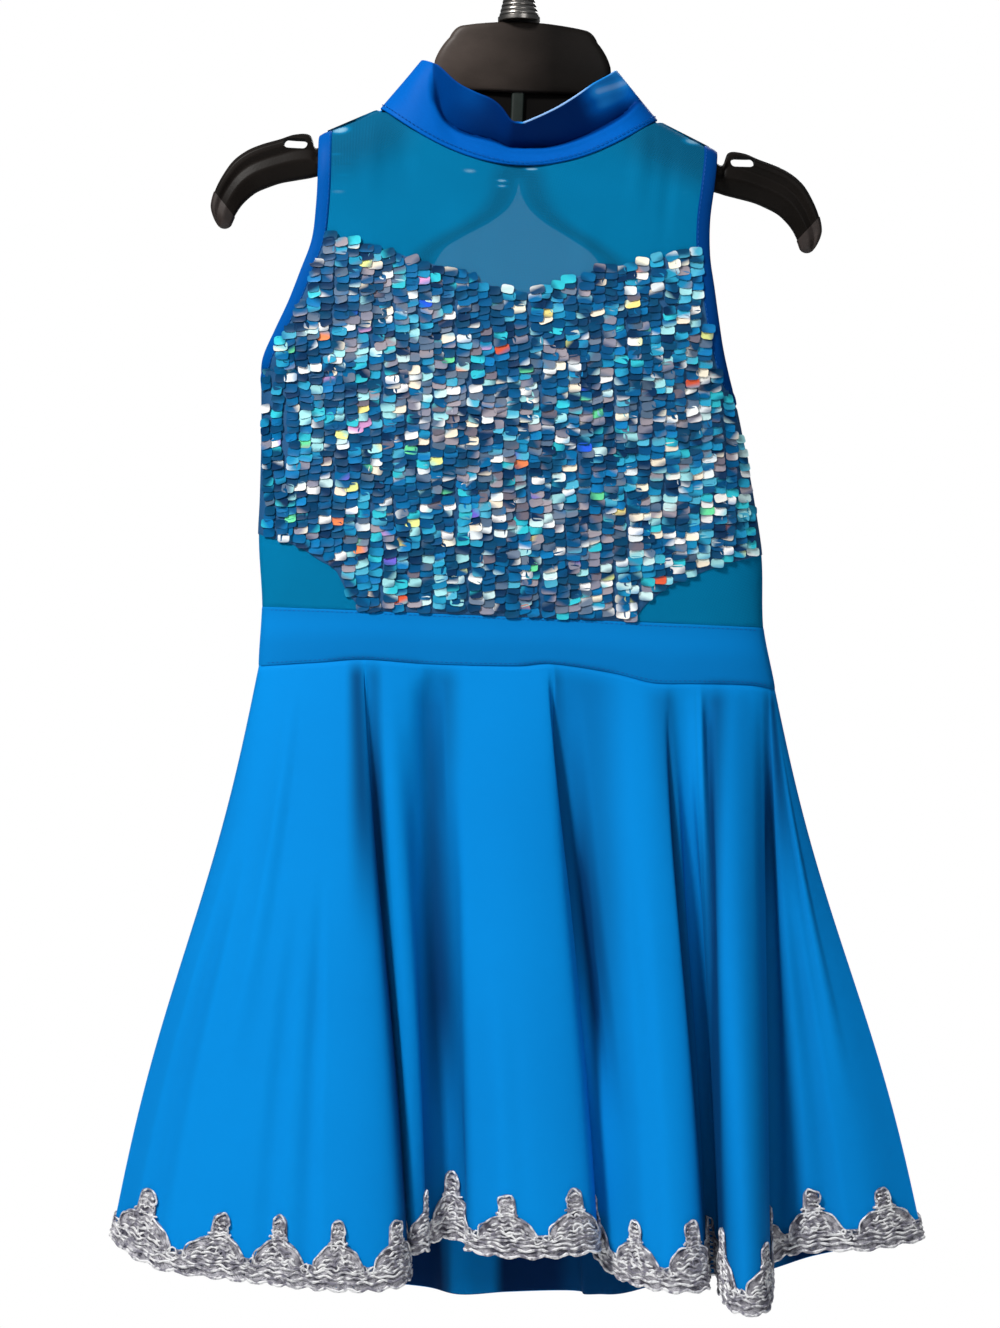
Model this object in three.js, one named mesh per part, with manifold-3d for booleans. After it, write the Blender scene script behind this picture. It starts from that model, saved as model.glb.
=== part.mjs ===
// A child's lyrical dance costume on its shop hanger: a sleeveless mock-neck bodice with a mesh
// yoke, a sequined front and a keyhole back, a waistband, and a flared skirt hung in deep folds
// with a scalloped lace trim. Millimetres. +X is the right of someone facing the front, +Y goes
// from the front to the back and +Z is up. The origin is inside the crest of the hanger's hook.
import * as THREE from 'three';
import { mergeVertices } from 'three/addons/utils/BufferGeometryUtils.js';
import Module from 'manifold-3d';

const wasm = await Module();
wasm.setup();

// ---------------------------------------------------------------- driving dimensions
// Heights in all the tables are measured from the top of the hanger's head.
const HOOK_RISE = 76;              // inside crest of the hook above the head
const TILT = THREE.MathUtils.degToRad(2.4);    // the hanger and the bodice lean down to the right
const SEAM = 0.3;                  // gap left between pieces that are sewn together

const YOKE_WALL = 1.2;
const BODICE_WALL = 1.4;
const SEQUIN_WALL = 2.0;
const SKIRT_WALL = 1.4;
const BAND_WALL = 1.8;
const BINDING_WALL = 2.2;
const COLLAR_WALL = 2.0;
const LACE_WALL = 1.0;

const NECK_HALF = 80;              // half the neck seam's width
const NECK_SIDE = -54;             // height where the neck seam meets the shoulder seam
const NECK_FRONT = -86;            // neck seam at the centre front
const NECK_BACK = -61;             // neck seam at the centre back
const SHOULDER_SLOPE = 0.486;
const SHOULDER_ROUND = 30;         // drop over which the cloth rounds from front to back

const BINDING_WIDTH = 8;
const ARMHOLE_BOTTOM = -209;
const ARMHOLE_MIDDLE = -140;
const ARMHOLE_DEPTH = 15;          // half the opening's depth, front edge to back edge

const WAIST_TOP = -345;
const WAIST_BOTTOM = -380;
const HEM_LEVEL = -707;            // where the lean has died out

const COLLAR_TOP_HALF = 56;
const COLLAR_TOP_SIDE = -26;
const COLLAR_TOP_FRONT = -61;
const COLLAR_TOP_BACK = -27;
const COLLAR_TOP_DEPTH = 23;       // half depth of its top edge
const COLLAR_CREASE = 5;           // how far the crease at the front goes in
const COLLAR_SLIT = 0.008;         // half the slit at the centre back, in radians round the neck

const TAB_WALL = 1.2;
const TAB_REACH = 0.17;            // half the tab's length, in radians round the neck
const TAB_FOOT = 0.3;              // its lower and upper edges, as shares of the collar's height
const TAB_HEAD = 0.75;
const BUTTON_RADIUS = 4.5;
const BUTTON_HEIGHT = 2.4;

const KEYHOLE_LIFT = 0.4;          // how far the keyhole's binding stands proud of the back
const BAND_LIFT = 0.4;             // how far the waistband stands proud of the bodice

const LACE_PITCH = 46;             // one scallop to the next along the hem
const LACE_BAND = 15;              // lace height between two scallops
const LACE_PEAK = 34;              // lace height at the middle of a scallop
const SCALLOP_STEPS = 4;           // columns of the hem's walls to one scallop
const LACE_DROP = 3;               // how far the lace hangs below the cloth's edge
const FLARE_DELAY = 0.035;         // how much later than evenly the folds spread below the waist
const FOLD_GROWTH = 0.85;          // below 1, the folds stand out soonest near the waist

// ---------------------------------------------------------------- tables of sections and folds
// Half widths of the bodice: height, left half, right half.
const BODICE_SECTIONS = [
  [-54, 116, 115], [-71, 116, 115], [-93, 116, 112.5], [-113, 117, 110], [-133, 119.5, 110],
  [-151, 126, 112.5], [-169, 133, 115], [-186, 141, 117.7], [-202, 148, 121.5],
  [-216, 149, 125.5], [-243, 149, 131], [-283, 150, 138], [-306, 151, 141], [-347, 149, 142],
  [-380, 151, 148.5],
];

// Half depth of the body at its centre: height, front, back.
const DEPTH_SECTIONS = [
  [-380, 20, 20], [-347, 20, 20], [-243, 22, 20], [-160, 21, 19], [-110, 20, 19], [-54, 18, 18],
];

// Upper edge of the sequined front: share of the half width, height.
const SWEETHEART = [
  [0, -160], [0.12, -156], [0.24, -151.5], [0.36, -146.5], [0.6, -139.5], [0.76, -136],
  [0.92, -131.5], [1, -129.5],
];

// Lower edge of the sequined front, over the side inserts: height, share of the left half
// width, share of the right.
const INSERT_EDGE = [
  [-303, 1, 1], [-310, 0.84, 0.83], [-317, 0.765, 0.71], [-323, 0.7, 0.62],
  [-334, 0.665, 0.52], [-343.2, 0.615, 0.47],
];

// Keyhole of the back: height, half width of the hole.
const KEYHOLE = [
  [-90, 0.5], [-102, 9], [-115, 25], [-132, 46], [-155, 54], [-183, 54], [-211, 42],
  [-231, 22], [-243, 0.5],
];

// Outer edge of the keyhole's binding: height, half width.
const KEYHOLE_OUTER = [
  [-76, 2], [-90, 18], [-106, 38], [-128, 58], [-155, 65], [-185, 64.5], [-216, 52],
  [-239, 29], [-253, 3],
];

// Seam between the waistband and the skirt: share of the half width, height. The weight of the
// folds pulls it down at the sides.
const WAIST_SEAM = [
  [-1, -379.5], [-0.75, -375.5], [-0.6, -373], [-0.36, -374], [0, -373], [0.12, -371],
  [0.37, -375], [0.52, -379.5], [0.67, -379], [0.9, -378.5], [1, -380.5],
];

// Heights at which the back panels are stepped, closer where the keyhole turns.
const BACK_ROWS = [
  -61, -70, -77, -83, -90, -98, -106, -115, -125, -137, -152, -169, -186, -203, -218, -230,
  -239, -246, -254, -280, -310, -344.7,
];

// Folds of the front skirt, from the left side seam to the right one:
// x at the waist, then x, y and height at the hem. Folds stand out towards -Y.
const FRONT_FOLDS = [
  [-151, -236, 0, -706],
  [-138.6, -210, -20, -719],
  [-119, -157, -36, -724],
  [-102, -103, -44, -728],
  [-92, -71, -40, -727],
  [-89, -63, -26, -722],
  [-87, -67.5, -12, -718],
  [-77, -58, -16, -711],
  [-61, -53, -11, -710],
  [-47.6, -40, -9, -705.5],
  [-33, -28, -24, -709.5],
  [-10, 7.5, -36, -711],
  [11.7, 39, -32, -709],
  [18.7, 45.5, -18, -709.6],
  [24, 43, -9, -713],
  [43.4, 57, -20, -725],
  [65, 82, -40, -729],
  [81, 103.5, -38, -729],
  [87, 109.5, -20, -727],
  [95, 111.5, -10, -727],
  [106.7, 119, -40, -737.5],
  [120.5, 129, -52, -740],
  [132.4, 140, -44, -738],
  [139.3, 145, -20, -724],
  [143.3, 151, -10, -716],
  [145.2, 168.5, -17, -711],
  [147.2, 203, -15, -710],
  [148.5, 234, 0, -707],
];

// Folds of the back skirt, the same way. It is cut a little longer.
const BACK_FOLDS = [
  [-151, -236, 0, -706],
  [-135, -200, 28, -722],
  [-115, -152, 42, -734],
  [-99, -118, 20, -736],
  [-82, -84, 38, -741],
  [-62, -54, 44, -745],
  [-44, -34, 17, -744],
  [-18, -6, 40, -747],
  [10, 30, 44, -747],
  [33, 57, 18, -744],
  [56, 88, 40, -741],
  [82, 120, 44, -737],
  [100, 142, 19, -731],
  [119, 174, 36, -725],
  [138, 208, 24, -716],
  [148.5, 234, 0, -707],
];

// Arm of the hanger, from the head to the tip: x and height of its upper edge, x and height of
// its lower edge, half depth at the middle.
const ARM_SECTIONS = [
  [34, -40, 30, -66, 5.5],
  [62, -50, 57, -73, 6],
  [90, -62.9, 86, -85, 6.5],
  [108, -71.7, 104, -91.5, 6.5],
  [117.5, -78, 115, -93.5, 6.5],
  [121.3, -70.5, 120.5, -95, 6.5],
  [130, -70.5, 128, -96.6, 6.5],
  [139, -73.7, 137, -98.6, 6.5],
  [149, -77, 144, -101.2, 6.5],
  [157.5, -81, 151, -104.5, 6.4],
  [165, -87, 156, -108.6, 6.2],
  [170.5, -95, 160, -113.2, 5.9],
  [174.8, -104, 163, -118.4, 5.5],
  [177, -113, 165, -123.4, 4.8],
  [176, -121.5, 168, -127, 3.6],
];

const HEAD_TOP_HALF = 36;          // half width of the head at its top corners
const HEAD_HALF = 51;              // half width lower down
const HEAD_FOOT = -41.3;           // underside of the head
const HEAD_SHOULDER = -24;         // height where the head's sides turn steeper
const HEAD_CROWN = -3.2;           // height of its top corners, below the middle of the crown
const HEAD_FLARE = 3;              // how much wider each side is at its foot
const HEAD_DEPTH = 14;
const HEAD_ROUND = 7;              // radius of its top corners
const HEAD_BEVEL = 1.6;
const PLATE = { topHalf: 48, footHalf: 60, top: -36, foot: -68, arch: -62, thickness: 3 };
const STRUT = { x: -2, width: 7.5, depth: 8, top: -38, foot: -64 };
const ARM_EDGE = 0.36;             // width of an arm's top edge, as a share of its middle
const NOTCH = { inner: 111.5, outer: 135, floor: -78.8, roof: -73.2 };    // strap notch in the arm

const WIRE = 2.2;                  // radius of the hook's wire
const HOOK_RADIUS = 22;            // radius of its middle line
const FERRULE_FOOT = 0.4;          // ferrule's foot above the head
const FERRULE_TOP = 16;
const FERRULE_BASE = 12.2;         // radius of its base ring
const FERRULE_BANDS = 3;           // turned rings above the base
const BAND_PITCH = 3.4;
const BAND_START = 4.6;            // height and radius of the lowest ring, and each next one's taper
const BAND_RADIUS = 10.9;
const BAND_TAPER = 0.75;
const SHANK = 6;                   // straight wire above the ferrule
const HOOK_TURNS = [-52, -36, -18, 0, 22, 45, 68, 90, 112, 135, 158, 180, 198, 212];    // degrees

// ---------------------------------------------------------------- colours and finishes
const FINISHES = {
  spandex: { color: 0x0a7fd0, roughness: 0.7, metalness: 0 },
  satin: { color: 0x0058c8, roughness: 0.4, metalness: 0 },
  mesh: { color: 0x0a6a96, roughness: 0.8, metalness: 0 },
  sequins: { color: 0x2f7fa8, roughness: 0.3, metalness: 0.4 },
  lace: { color: 0xa9a7a8, roughness: 0.5, metalness: 0.3 },
  plastic: { color: 0x17130f, roughness: 0.4, metalness: 0 },
  metal: { color: 0x9c9a96, roughness: 0.35, metalness: 1 },
};

const costume = new THREE.Group();

function add(name, geometry, finish, parent = costume) {
  const mesh = new THREE.Mesh(geometry, new THREE.MeshStandardMaterial(FINISHES[finish]));
  mesh.name = name;
  parent.add(mesh);
}

// ---------------------------------------------------------------- curves
// Smooth curve through the rows of a table: the value in `column` at `at`, by cubic pieces whose
// slope at each row is that of the chord between its neighbours.
function along(rows, at, column = 1, key = 0) {
  const rising = rows[rows.length - 1][key] > rows[0][key];
  const passed = (row) => (rising ? row[key] <= at : row[key] >= at);
  let i = rows.findIndex((row) => !passed(row)) - 1;
  if (i < 0) i = passed(rows[0]) ? rows.length - 2 : 0;
  const slope = (j) => {
    const low = rows[Math.max(j - 1, 0)];
    const high = rows[Math.min(j + 1, rows.length - 1)];
    return (high[column] - low[column]) / (high[key] - low[key]);
  };
  const [a, b] = [rows[i], rows[i + 1]];
  const span = b[key] - a[key];
  const t = THREE.MathUtils.clamp((at - a[key]) / span, 0, 1);
  const [t2, t3] = [t * t, t * t * t];
  return a[column] * (2 * t3 - 3 * t2 + 1) + slope(i) * span * (t3 - 2 * t2 + t)
    + b[column] * (3 * t2 - 2 * t3) + slope(i + 1) * span * (t3 - t2);
}

// The same with the rows evenly spaced: `at` runs from 0 to 1 over the whole table.
function through(rows, at, column) {
  const numbered = rows.map((row, i) => [i / (rows.length - 1), row[column]]);
  return along(numbered, at);
}

const steps = (count, from = 0, to = 1) => (
  Array.from({ length: count + 1 }, (_, i) => from + (to - from) * i / count));

// Stops from 0 to 1 that crowd towards both ends.
const crowded = (count) => steps(count).map((t) => 0.5 - 0.5 * Math.cos(Math.PI * t));

// Stops from 0 to 1 that crowd towards 0.
const crowdedStart = (count) => steps(count).map((t) => t ** 1.6);

// ---------------------------------------------------------------- cloth walls
// The lean of the bodice, a shear that dies out towards the hem.
function lean(x, y, z) {
  const fade = THREE.MathUtils.clamp((z - HEM_LEVEL) / (WAIST_BOTTOM - HEM_LEVEL), 0, 1);
  return new THREE.Vector3(x, y, z - x * Math.tan(TILT) * fade);
}

// Unit normals of the surface `point(u, v)` towards its outer side. `facing` is the sign of the
// outer side's y, taken over the whole panel, since single folds can turn away from it.
function normalsOf(point, facing, uStops) {
  const tiny = 1e-3;
  const at = (u, v) => point(THREE.MathUtils.clamp(u, 0, 1), Math.max(v, 0));
  const turned = (across, down) => across.cross(down).normalize();
  const quarter = (count) => uStops[Math.round((uStops.length - 1) * count / 4)];
  const whole = turned(
    at(quarter(3), 0.5).sub(at(quarter(1), 0.5)),
    at(quarter(2), 0.9).sub(at(quarter(2), 0.1)),
  );
  const sign = Math.sign(whole.y) * facing;
  return (u, v) => {
    const across = at(u + tiny, v).sub(at(u - tiny, v));
    const down = at(u, v + tiny).sub(at(u, v - tiny));
    const normal = turned(across, down).multiplyScalar(sign);
    if (Math.abs(at(u, v).y) < SEAM) normal.setY(0).normalize();     // an edge on a seam plane
    return normal;
  };
}

// A closed wall: the surface `point(u, v)` over the stops, lifted outwards, and the same surface
// set in by the wall's thickness.
function wall(point, uStops, vStops, thickness, facing, lift = 0) {
  const normal = normalsOf(point, facing, uStops);
  const positions = [];
  for (const depth of [lift, lift - thickness]) {
    for (const v of vStops) {
      for (const u of uStops) {
        positions.push(...point(u, v).addScaledVector(normal(u, v), depth));
      }
    }
  }
  return closedGrid(positions, uStops.length, vStops.length);
}

// Joins two grids of the same size, one behind the other, into a closed body.
function closedGrid(positions, columns, rows) {
  const index = [];
  const sheet = columns * rows;
  const quad = (a, b, c, d) => index.push(a, b, c, a, c, d);
  for (let r = 0; r < rows - 1; r += 1) {
    for (let c = 0; c < columns - 1; c += 1) {
      const a = r * columns + c;
      quad(a, a + columns, a + columns + 1, a + 1);
      quad(a + sheet, a + sheet + 1, a + sheet + columns + 1, a + sheet + columns);
    }
  }
  for (let c = 0; c < columns - 1; c += 1) {
    const last = (rows - 1) * columns + c;
    quad(c, c + 1, c + 1 + sheet, c + sheet);
    quad(last + 1, last, last + sheet, last + sheet + 1);
  }
  for (let r = 0; r < rows - 1; r += 1) {
    const first = r * columns;
    const end = first + columns - 1;
    quad(first + columns, first, first + sheet, first + columns + sheet);
    quad(end, end + columns, end + columns + sheet, end + sheet);
  }
  return outward(new THREE.BufferGeometry(), positions, index);
}

// Sets a geometry's points and faces, turned so that the faces point out of the body.
function outward(geometry, positions, index) {
  let volume = 0;
  const corner = (i) => new THREE.Vector3().fromArray(positions, 3 * index[i]);
  for (let i = 0; i < index.length; i += 3) {
    volume += corner(i).dot(corner(i + 1).cross(corner(i + 2)));
  }
  if (volume < 0) index.reverse();
  geometry.setAttribute('position', new THREE.Float32BufferAttribute(positions, 3));
  geometry.setIndex(index);
  geometry.computeVertexNormals();
  return geometry;
}

// ---------------------------------------------------------------- form of the body
const halfWidth = (x, z) => along(BODICE_SECTIONS, z, x < 0 ? 1 : 2);

function shoulderHeight(x) {
  const out = Math.abs(x) - NECK_HALF;
  return NECK_SIDE - out * (out > 0 ? SHOULDER_SLOPE : SHOULDER_SLOPE / 2);
}

// How far the armhole's edge stands from the side plane.
function armholeDepth(z) {
  const below = (ARMHOLE_MIDDLE - z) / (ARMHOLE_MIDDLE - ARMHOLE_BOTTOM);
  if (below <= 0) return ARMHOLE_DEPTH;
  return ARMHOLE_DEPTH * Math.sqrt(Math.max(0, 1 - below * below));
}

// y of the body's surface: a lens from side to side, rounded over the shoulder.
function bodyDepth(side, x, z) {
  const share = Math.min(1, Math.abs(x) / halfWidth(x, z));
  const edge = armholeDepth(z);
  const middle = along(DEPTH_SECTIONS, z, side < 0 ? 1 : 2);
  const drop = THREE.MathUtils.clamp((shoulderHeight(x) - z) / SHOULDER_ROUND, 0, 1);
  const arch = Math.sqrt(1 - (1 - drop) ** 2);
  const lens = edge + (middle - edge) * Math.sqrt(1 - share ** 3);
  return side * Math.max(SEAM / 2, lens * arch);
}

// A panel of the body between two heights and two edges. `edges(u, z)` gives x, `top(u)` and
// `bottom(u)` give heights.
function panel(side, edges, top, bottom, uStops, vStops, thickness, lift = 0) {
  const point = (u, v) => {
    const z = THREE.MathUtils.lerp(top(u), bottom(u), v);
    const x = edges(u, z);
    return lean(x, bodyDepth(side, x, z), z);
  };
  return wall(point, uStops, vStops, thickness, side, lift);
}

// x across a full panel from its left edge to its right, kept clear of the armhole bindings.
function acrossBody(u, z) {
  const share = 2 * u - 1;
  return share * (halfWidth(share, z) - armholeInset(z, 3 * SEAM));
}

// Width that the armhole's binding takes from the panel's edge.
function armholeInset(z, gap) {
  const foot = ARMHOLE_BOTTOM - BINDING_WIDTH - 4 * gap;
  const share = (NECK_SIDE - z) / (NECK_SIDE - foot);
  if (share >= 1) return 0;
  return (BINDING_WIDTH + gap) * Math.sqrt(1 - share ** 8);
}

// ---------------------------------------------------------------- bodice, front
const waistSeam = (x) => along(WAIST_SEAM, x / halfWidth(x, WAIST_BOTTOM));
const neckFront = (x) => THREE.MathUtils.lerp(NECK_FRONT, NECK_SIDE, (x / NECK_HALF) ** 2);
const neckBack = (x) => THREE.MathUtils.lerp(NECK_BACK, NECK_SIDE, (x / NECK_HALF) ** 2);

function panelTop(neck) {
  return (u) => {
    const x = Math.abs(2 * u - 1) * (BODICE_SECTIONS[0][2] - BINDING_WIDTH);
    return x < NECK_HALF ? neck(x) : shoulderHeight(x);
  };
}

const sweetheart = (u) => along(SWEETHEART, Math.abs(2 * u - 1));

function insertEdge(u) {
  const share = 2 * u - 1;
  const column = share < 0 ? 1 : 2;
  if (Math.abs(share) < INSERT_EDGE[INSERT_EDGE.length - 1][column]) return WAIST_TOP + SEAM;
  return along(INSERT_EDGE, Math.abs(share), 0, column);
}

// Where the side inserts end, and stops across the front that they share with its other pieces.
const innermost = INSERT_EDGE[INSERT_EDGE.length - 1];
const leftEnd = (1 - innermost[1]) / 2;
const rightEnd = (1 + innermost[2]) / 2;
const leftStops = crowded(7).map((t) => t * leftEnd);
const rightStops = crowded(7).map((t) => THREE.MathUtils.lerp(rightEnd, 1, t));
const frontStops = [...leftStops, ...steps(12, leftEnd, rightEnd).slice(1, -1), ...rightStops];

function buildFront() {
  add('front_yoke', panel(-1, acrossBody, panelTop(neckFront), (u) => sweetheart(u) + SEAM,
    frontStops, crowdedStart(5), YOKE_WALL), 'mesh');
  add('sequin_panel', panel(-1, acrossBody, sweetheart, insertEdge,
    frontStops, steps(8), SEQUIN_WALL, SEQUIN_WALL / 4), 'sequins');
  for (const [hand, stops] of [['left', leftStops], ['right', rightStops]]) {
    add(`side_insert_${hand}`, panel(-1, acrossBody, (u) => insertEdge(u) - SEAM,
      () => WAIST_TOP + SEAM, stops, steps(3), YOKE_WALL), 'mesh');
  }
}

// ---------------------------------------------------------------- bodice, back
// Two halves that meet in a centre seam, with the bound keyhole between them. The slit from the
// keyhole up to the neck is what opens when the collar is unbuttoned.
function buildBack() {
  const outline = (rows, z) => {
    const inside = z < rows[0][0] && z > rows[rows.length - 1][0];
    return inside ? Math.max(SEAM, along(rows, z)) : SEAM;
  };
  const foot = BACK_ROWS[BACK_ROWS.length - 1];
  const rows = BACK_ROWS.map((z) => (z - NECK_BACK) / (foot - NECK_BACK));
  const [first, last] = [KEYHOLE_OUTER[0][0], KEYHOLE_OUTER[KEYHOLE_OUTER.length - 1][0]];
  const boundRows = BACK_ROWS.filter((z) => z < first && z > last);
  for (const [hand, sign] of [['left', -1], ['right', 1]]) {
    const across = (u, z) => {
      const inner = outline(KEYHOLE_OUTER, z) + SEAM;
      const outer = halfWidth(sign, z) - armholeInset(z, 3 * SEAM);
      return sign * THREE.MathUtils.lerp(inner, outer, u);
    };
    const top = (u) => panelTop(neckBack)(0.5 + 0.5 * u);
    add(`back_${hand}`, panel(1, across, top, () => foot, crowded(8), rows,
      BODICE_WALL), 'spandex');
    const bound = (u, z) => {
      const inner = outline(KEYHOLE, z);
      return sign * THREE.MathUtils.lerp(inner, Math.max(outline(KEYHOLE_OUTER, z), inner + 1), u);
    };
    const [head, toe] = [boundRows[0], boundRows[boundRows.length - 1]];
    const boundStops = boundRows.map((z) => (z - head) / (toe - head));
    add(`keyhole_binding_${hand}`, panel(1, bound, () => head, () => toe, steps(2),
      boundStops, BINDING_WALL, KEYHOLE_LIFT), 'satin');
  }
}

// ---------------------------------------------------------------- armhole bindings
// A ring round the armhole: down the front edge, under the arm and up the back edge. The strip
// reaches towards the middle of the panel beside the arm, and downwards under it.
function buildArmholes() {
  for (const [hand, sign] of [['left', -1], ['right', 1]]) {
    const point = (u, v) => {
      const turn = 2 * Math.PI * u;
      const side = turn < Math.PI ? -1 : 1;
      const share = (1 - Math.cos(turn)) / 2;
      const top = shoulderHeight(halfWidth(sign, BODICE_SECTIONS[1][0]) - v * BINDING_WIDTH);
      const z = THREE.MathUtils.lerp(top, ARMHOLE_BOTTOM - v * BINDING_WIDTH, share);
      const inset = v * BINDING_WIDTH * Math.sqrt(1 - share ** 8);
      const x = sign * (halfWidth(sign, z) - inset);
      return lean(x, bodyDepth(side, x, z) - side * SEAM / 2, z);
    };
    add(`armhole_binding_${hand}`, ring(point, 40, 1, BINDING_WALL, BINDING_WALL / 4, sign),
      'satin');
  }
}

// A wall that closes on itself along u. `sign` is the side of x that its rim faces.
function ring(point, columns, rows, thickness, lift, sign) {
  const tiny = 1e-3;
  const at = (u, v) => point((u + 1) % 1, THREE.MathUtils.clamp(v, 0, 1));
  const positions = [];
  for (const depth of [lift, lift - thickness]) {
    for (const v of steps(rows)) {
      for (let i = 0; i < columns; i += 1) {
        const u = (i + 0.5) / columns;
        const across = at(u + tiny, v).sub(at(u - tiny, v));
        const down = at(u, v + tiny).sub(at(u, v - tiny));
        const n = across.cross(down).normalize().multiplyScalar(sign);
        positions.push(...at(u, v).addScaledVector(n, depth));
      }
    }
  }
  const index = [];
  const sheet = columns * (rows + 1);
  const quad = (a, b, c, d) => index.push(a, b, c, a, c, d);
  for (let i = 0; i < columns; i += 1) {
    const next = (i + 1) % columns;
    for (let r = 0; r < rows; r += 1) {
      const [a, b] = [r * columns + i, r * columns + next];
      quad(a, a + columns, b + columns, b);
      quad(a + sheet, b + sheet, b + sheet + columns, a + sheet + columns);
    }
    const foot = rows * columns;
    quad(i, next, next + sheet, i + sheet);
    quad(foot + next, foot + i, foot + i + sheet, foot + next + sheet);
  }
  return outward(new THREE.BufferGeometry(), positions, index);
}

// ---------------------------------------------------------------- collar
// A doubled stand collar, open at the centre back. It leans in from the neck seam, creases, and
// its upper part leans out again; its top edge dips to a V at the front.
function collarPoint(turn, v) {
  const front = Math.cos(turn) > 0;
  const side = front ? -1 : 1;
  const foot = NECK_HALF * Math.sin(turn);
  const footHeight = (front ? neckFront(foot) : neckBack(foot)) + 2 * SEAM;
  const footDepth = bodyDepth(side, foot, footHeight);
  const head = COLLAR_TOP_HALF * Math.sin(turn);
  const round = Math.abs(Math.cos(turn)) ** 0.7;
  const aside = Math.abs(head / COLLAR_TOP_HALF);
  const headHeight = front
    ? THREE.MathUtils.lerp(COLLAR_TOP_FRONT, COLLAR_TOP_SIDE, aside ** 0.85)
    : THREE.MathUtils.lerp(COLLAR_TOP_BACK, COLLAR_TOP_SIDE, aside);
  const headDepth = side * COLLAR_TOP_DEPTH * round;
  const crease = front ? -side * COLLAR_CREASE * round * Math.sin(Math.PI * v) ** 2 : 0;
  return lean(
    THREE.MathUtils.lerp(foot, head, v),
    THREE.MathUtils.lerp(footDepth, headDepth, v) + crease,
    THREE.MathUtils.lerp(footHeight, headHeight, v),
  );
}

function buildCollar() {
  const open = Math.PI - COLLAR_SLIT;
  const point = (u, v) => collarPoint(THREE.MathUtils.lerp(-open, open, u), v);
  add('collar', wall(point, steps(40), steps(3), COLLAR_WALL, -1, COLLAR_WALL / 2), 'satin');
  // The button tab that bridges the slit, lying on the collar's outside.
  const tab = (u, v) => collarPoint(
    Math.PI + THREE.MathUtils.lerp(TAB_REACH, -TAB_REACH, u),
    THREE.MathUtils.lerp(TAB_FOOT, TAB_HEAD, v),
  );
  const clear = COLLAR_WALL / 2 + SEAM + TAB_WALL;
  add('collar_tab', wall(tab, steps(6), steps(2), TAB_WALL, 1, clear), 'satin');
  const seat = collarPoint(Math.PI, (TAB_FOOT + TAB_HEAD) / 2);
  const slope = Math.atan2(collarPoint(Math.PI, 1).y - collarPoint(Math.PI, 0).y,
    COLLAR_TOP_BACK - NECK_BACK);
  const button = new THREE.CylinderGeometry(BUTTON_RADIUS, BUTTON_RADIUS, BUTTON_HEIGHT, 20);
  button.translate(0, clear + SEAM + BUTTON_HEIGHT / 2, 0).rotateX(-slope);
  add('collar_button', button.translate(seat.x, seat.y, seat.z), 'plastic');
}

// ---------------------------------------------------------------- waistband
function buildWaistband() {
  const share = (u) => 2 * u - 1;
  const across = (u, z) => share(u) * halfWidth(share(u), z);
  const foot = (u) => waistSeam(across(u, WAIST_BOTTOM));
  for (const [name, side] of [['waistband_front', -1], ['waistband_back', 1]]) {
    add(name, panel(side, across, () => WAIST_TOP - SEAM, foot, crowded(30), steps(1),
      BAND_WALL, BAND_LIFT), 'spandex');
  }
}

// ---------------------------------------------------------------- skirt
// Along the hem u picks the fold, down the skirt v runs from the waist to the cloth's edge. The
// folds open out as they go down.
function skirtPoint(folds, side) {
  return (u, v) => {
    const waist = through(folds, u, 0);
    const spread = v - FLARE_DELAY * Math.sin(2 * Math.PI * v);
    const x = THREE.MathUtils.lerp(waist, through(folds, u, 1), spread);
    const seam = waistSeam(waist) - 2 * SEAM;
    const top = bodyDepth(side, waist, seam);
    const y = THREE.MathUtils.lerp(top, through(folds, u, 2), v ** FOLD_GROWTH);
    const hem = through(folds, u, 3) + LACE_DROP;
    const z = THREE.MathUtils.lerp(seam, hem, v);
    return lean(x, side * Math.max(SEAM / 2, side * y), z);
  };
}

// Stops along the hem an equal length of cloth apart.
function evenAlongHem(point, count) {
  const fine = steps(600);
  const lengths = [0];
  for (let i = 1; i < fine.length; i += 1) {
    lengths.push(lengths[i - 1] + point(fine[i], 1).distanceTo(point(fine[i - 1], 1)));
  }
  const whole = lengths[lengths.length - 1];
  const stops = steps(count).map((share) => {
    const i = Math.max(1, lengths.findIndex((length) => length >= share * whole - 1e-9));
    const part = (share * whole - lengths[i - 1]) / (lengths[i] - lengths[i - 1]);
    return THREE.MathUtils.lerp(fine[i - 1], fine[i], part);
  });
  return { stops, whole };
}

function buildSkirt() {
  for (const [hand, folds, side] of [['front', FRONT_FOLDS, -1], ['back', BACK_FOLDS, 1]]) {
    const point = skirtPoint(folds, side);
    const scallops = Math.round(evenAlongHem(point, 1).whole / LACE_PITCH);
    const { stops } = evenAlongHem(point, scallops * SCALLOP_STEPS);
    const laceTop = 1 - LACE_PEAK / (WAIST_BOTTOM - HEM_LEVEL);
    const rows = [...crowdedStart(5).map((v) => v * laceTop), 1];
    add(`skirt_${hand}`, wall(point, stops, rows, SKIRT_WALL, side), 'spandex');
    buildLace(`lace_${hand}`, point, stops, side);
  }
}

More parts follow.
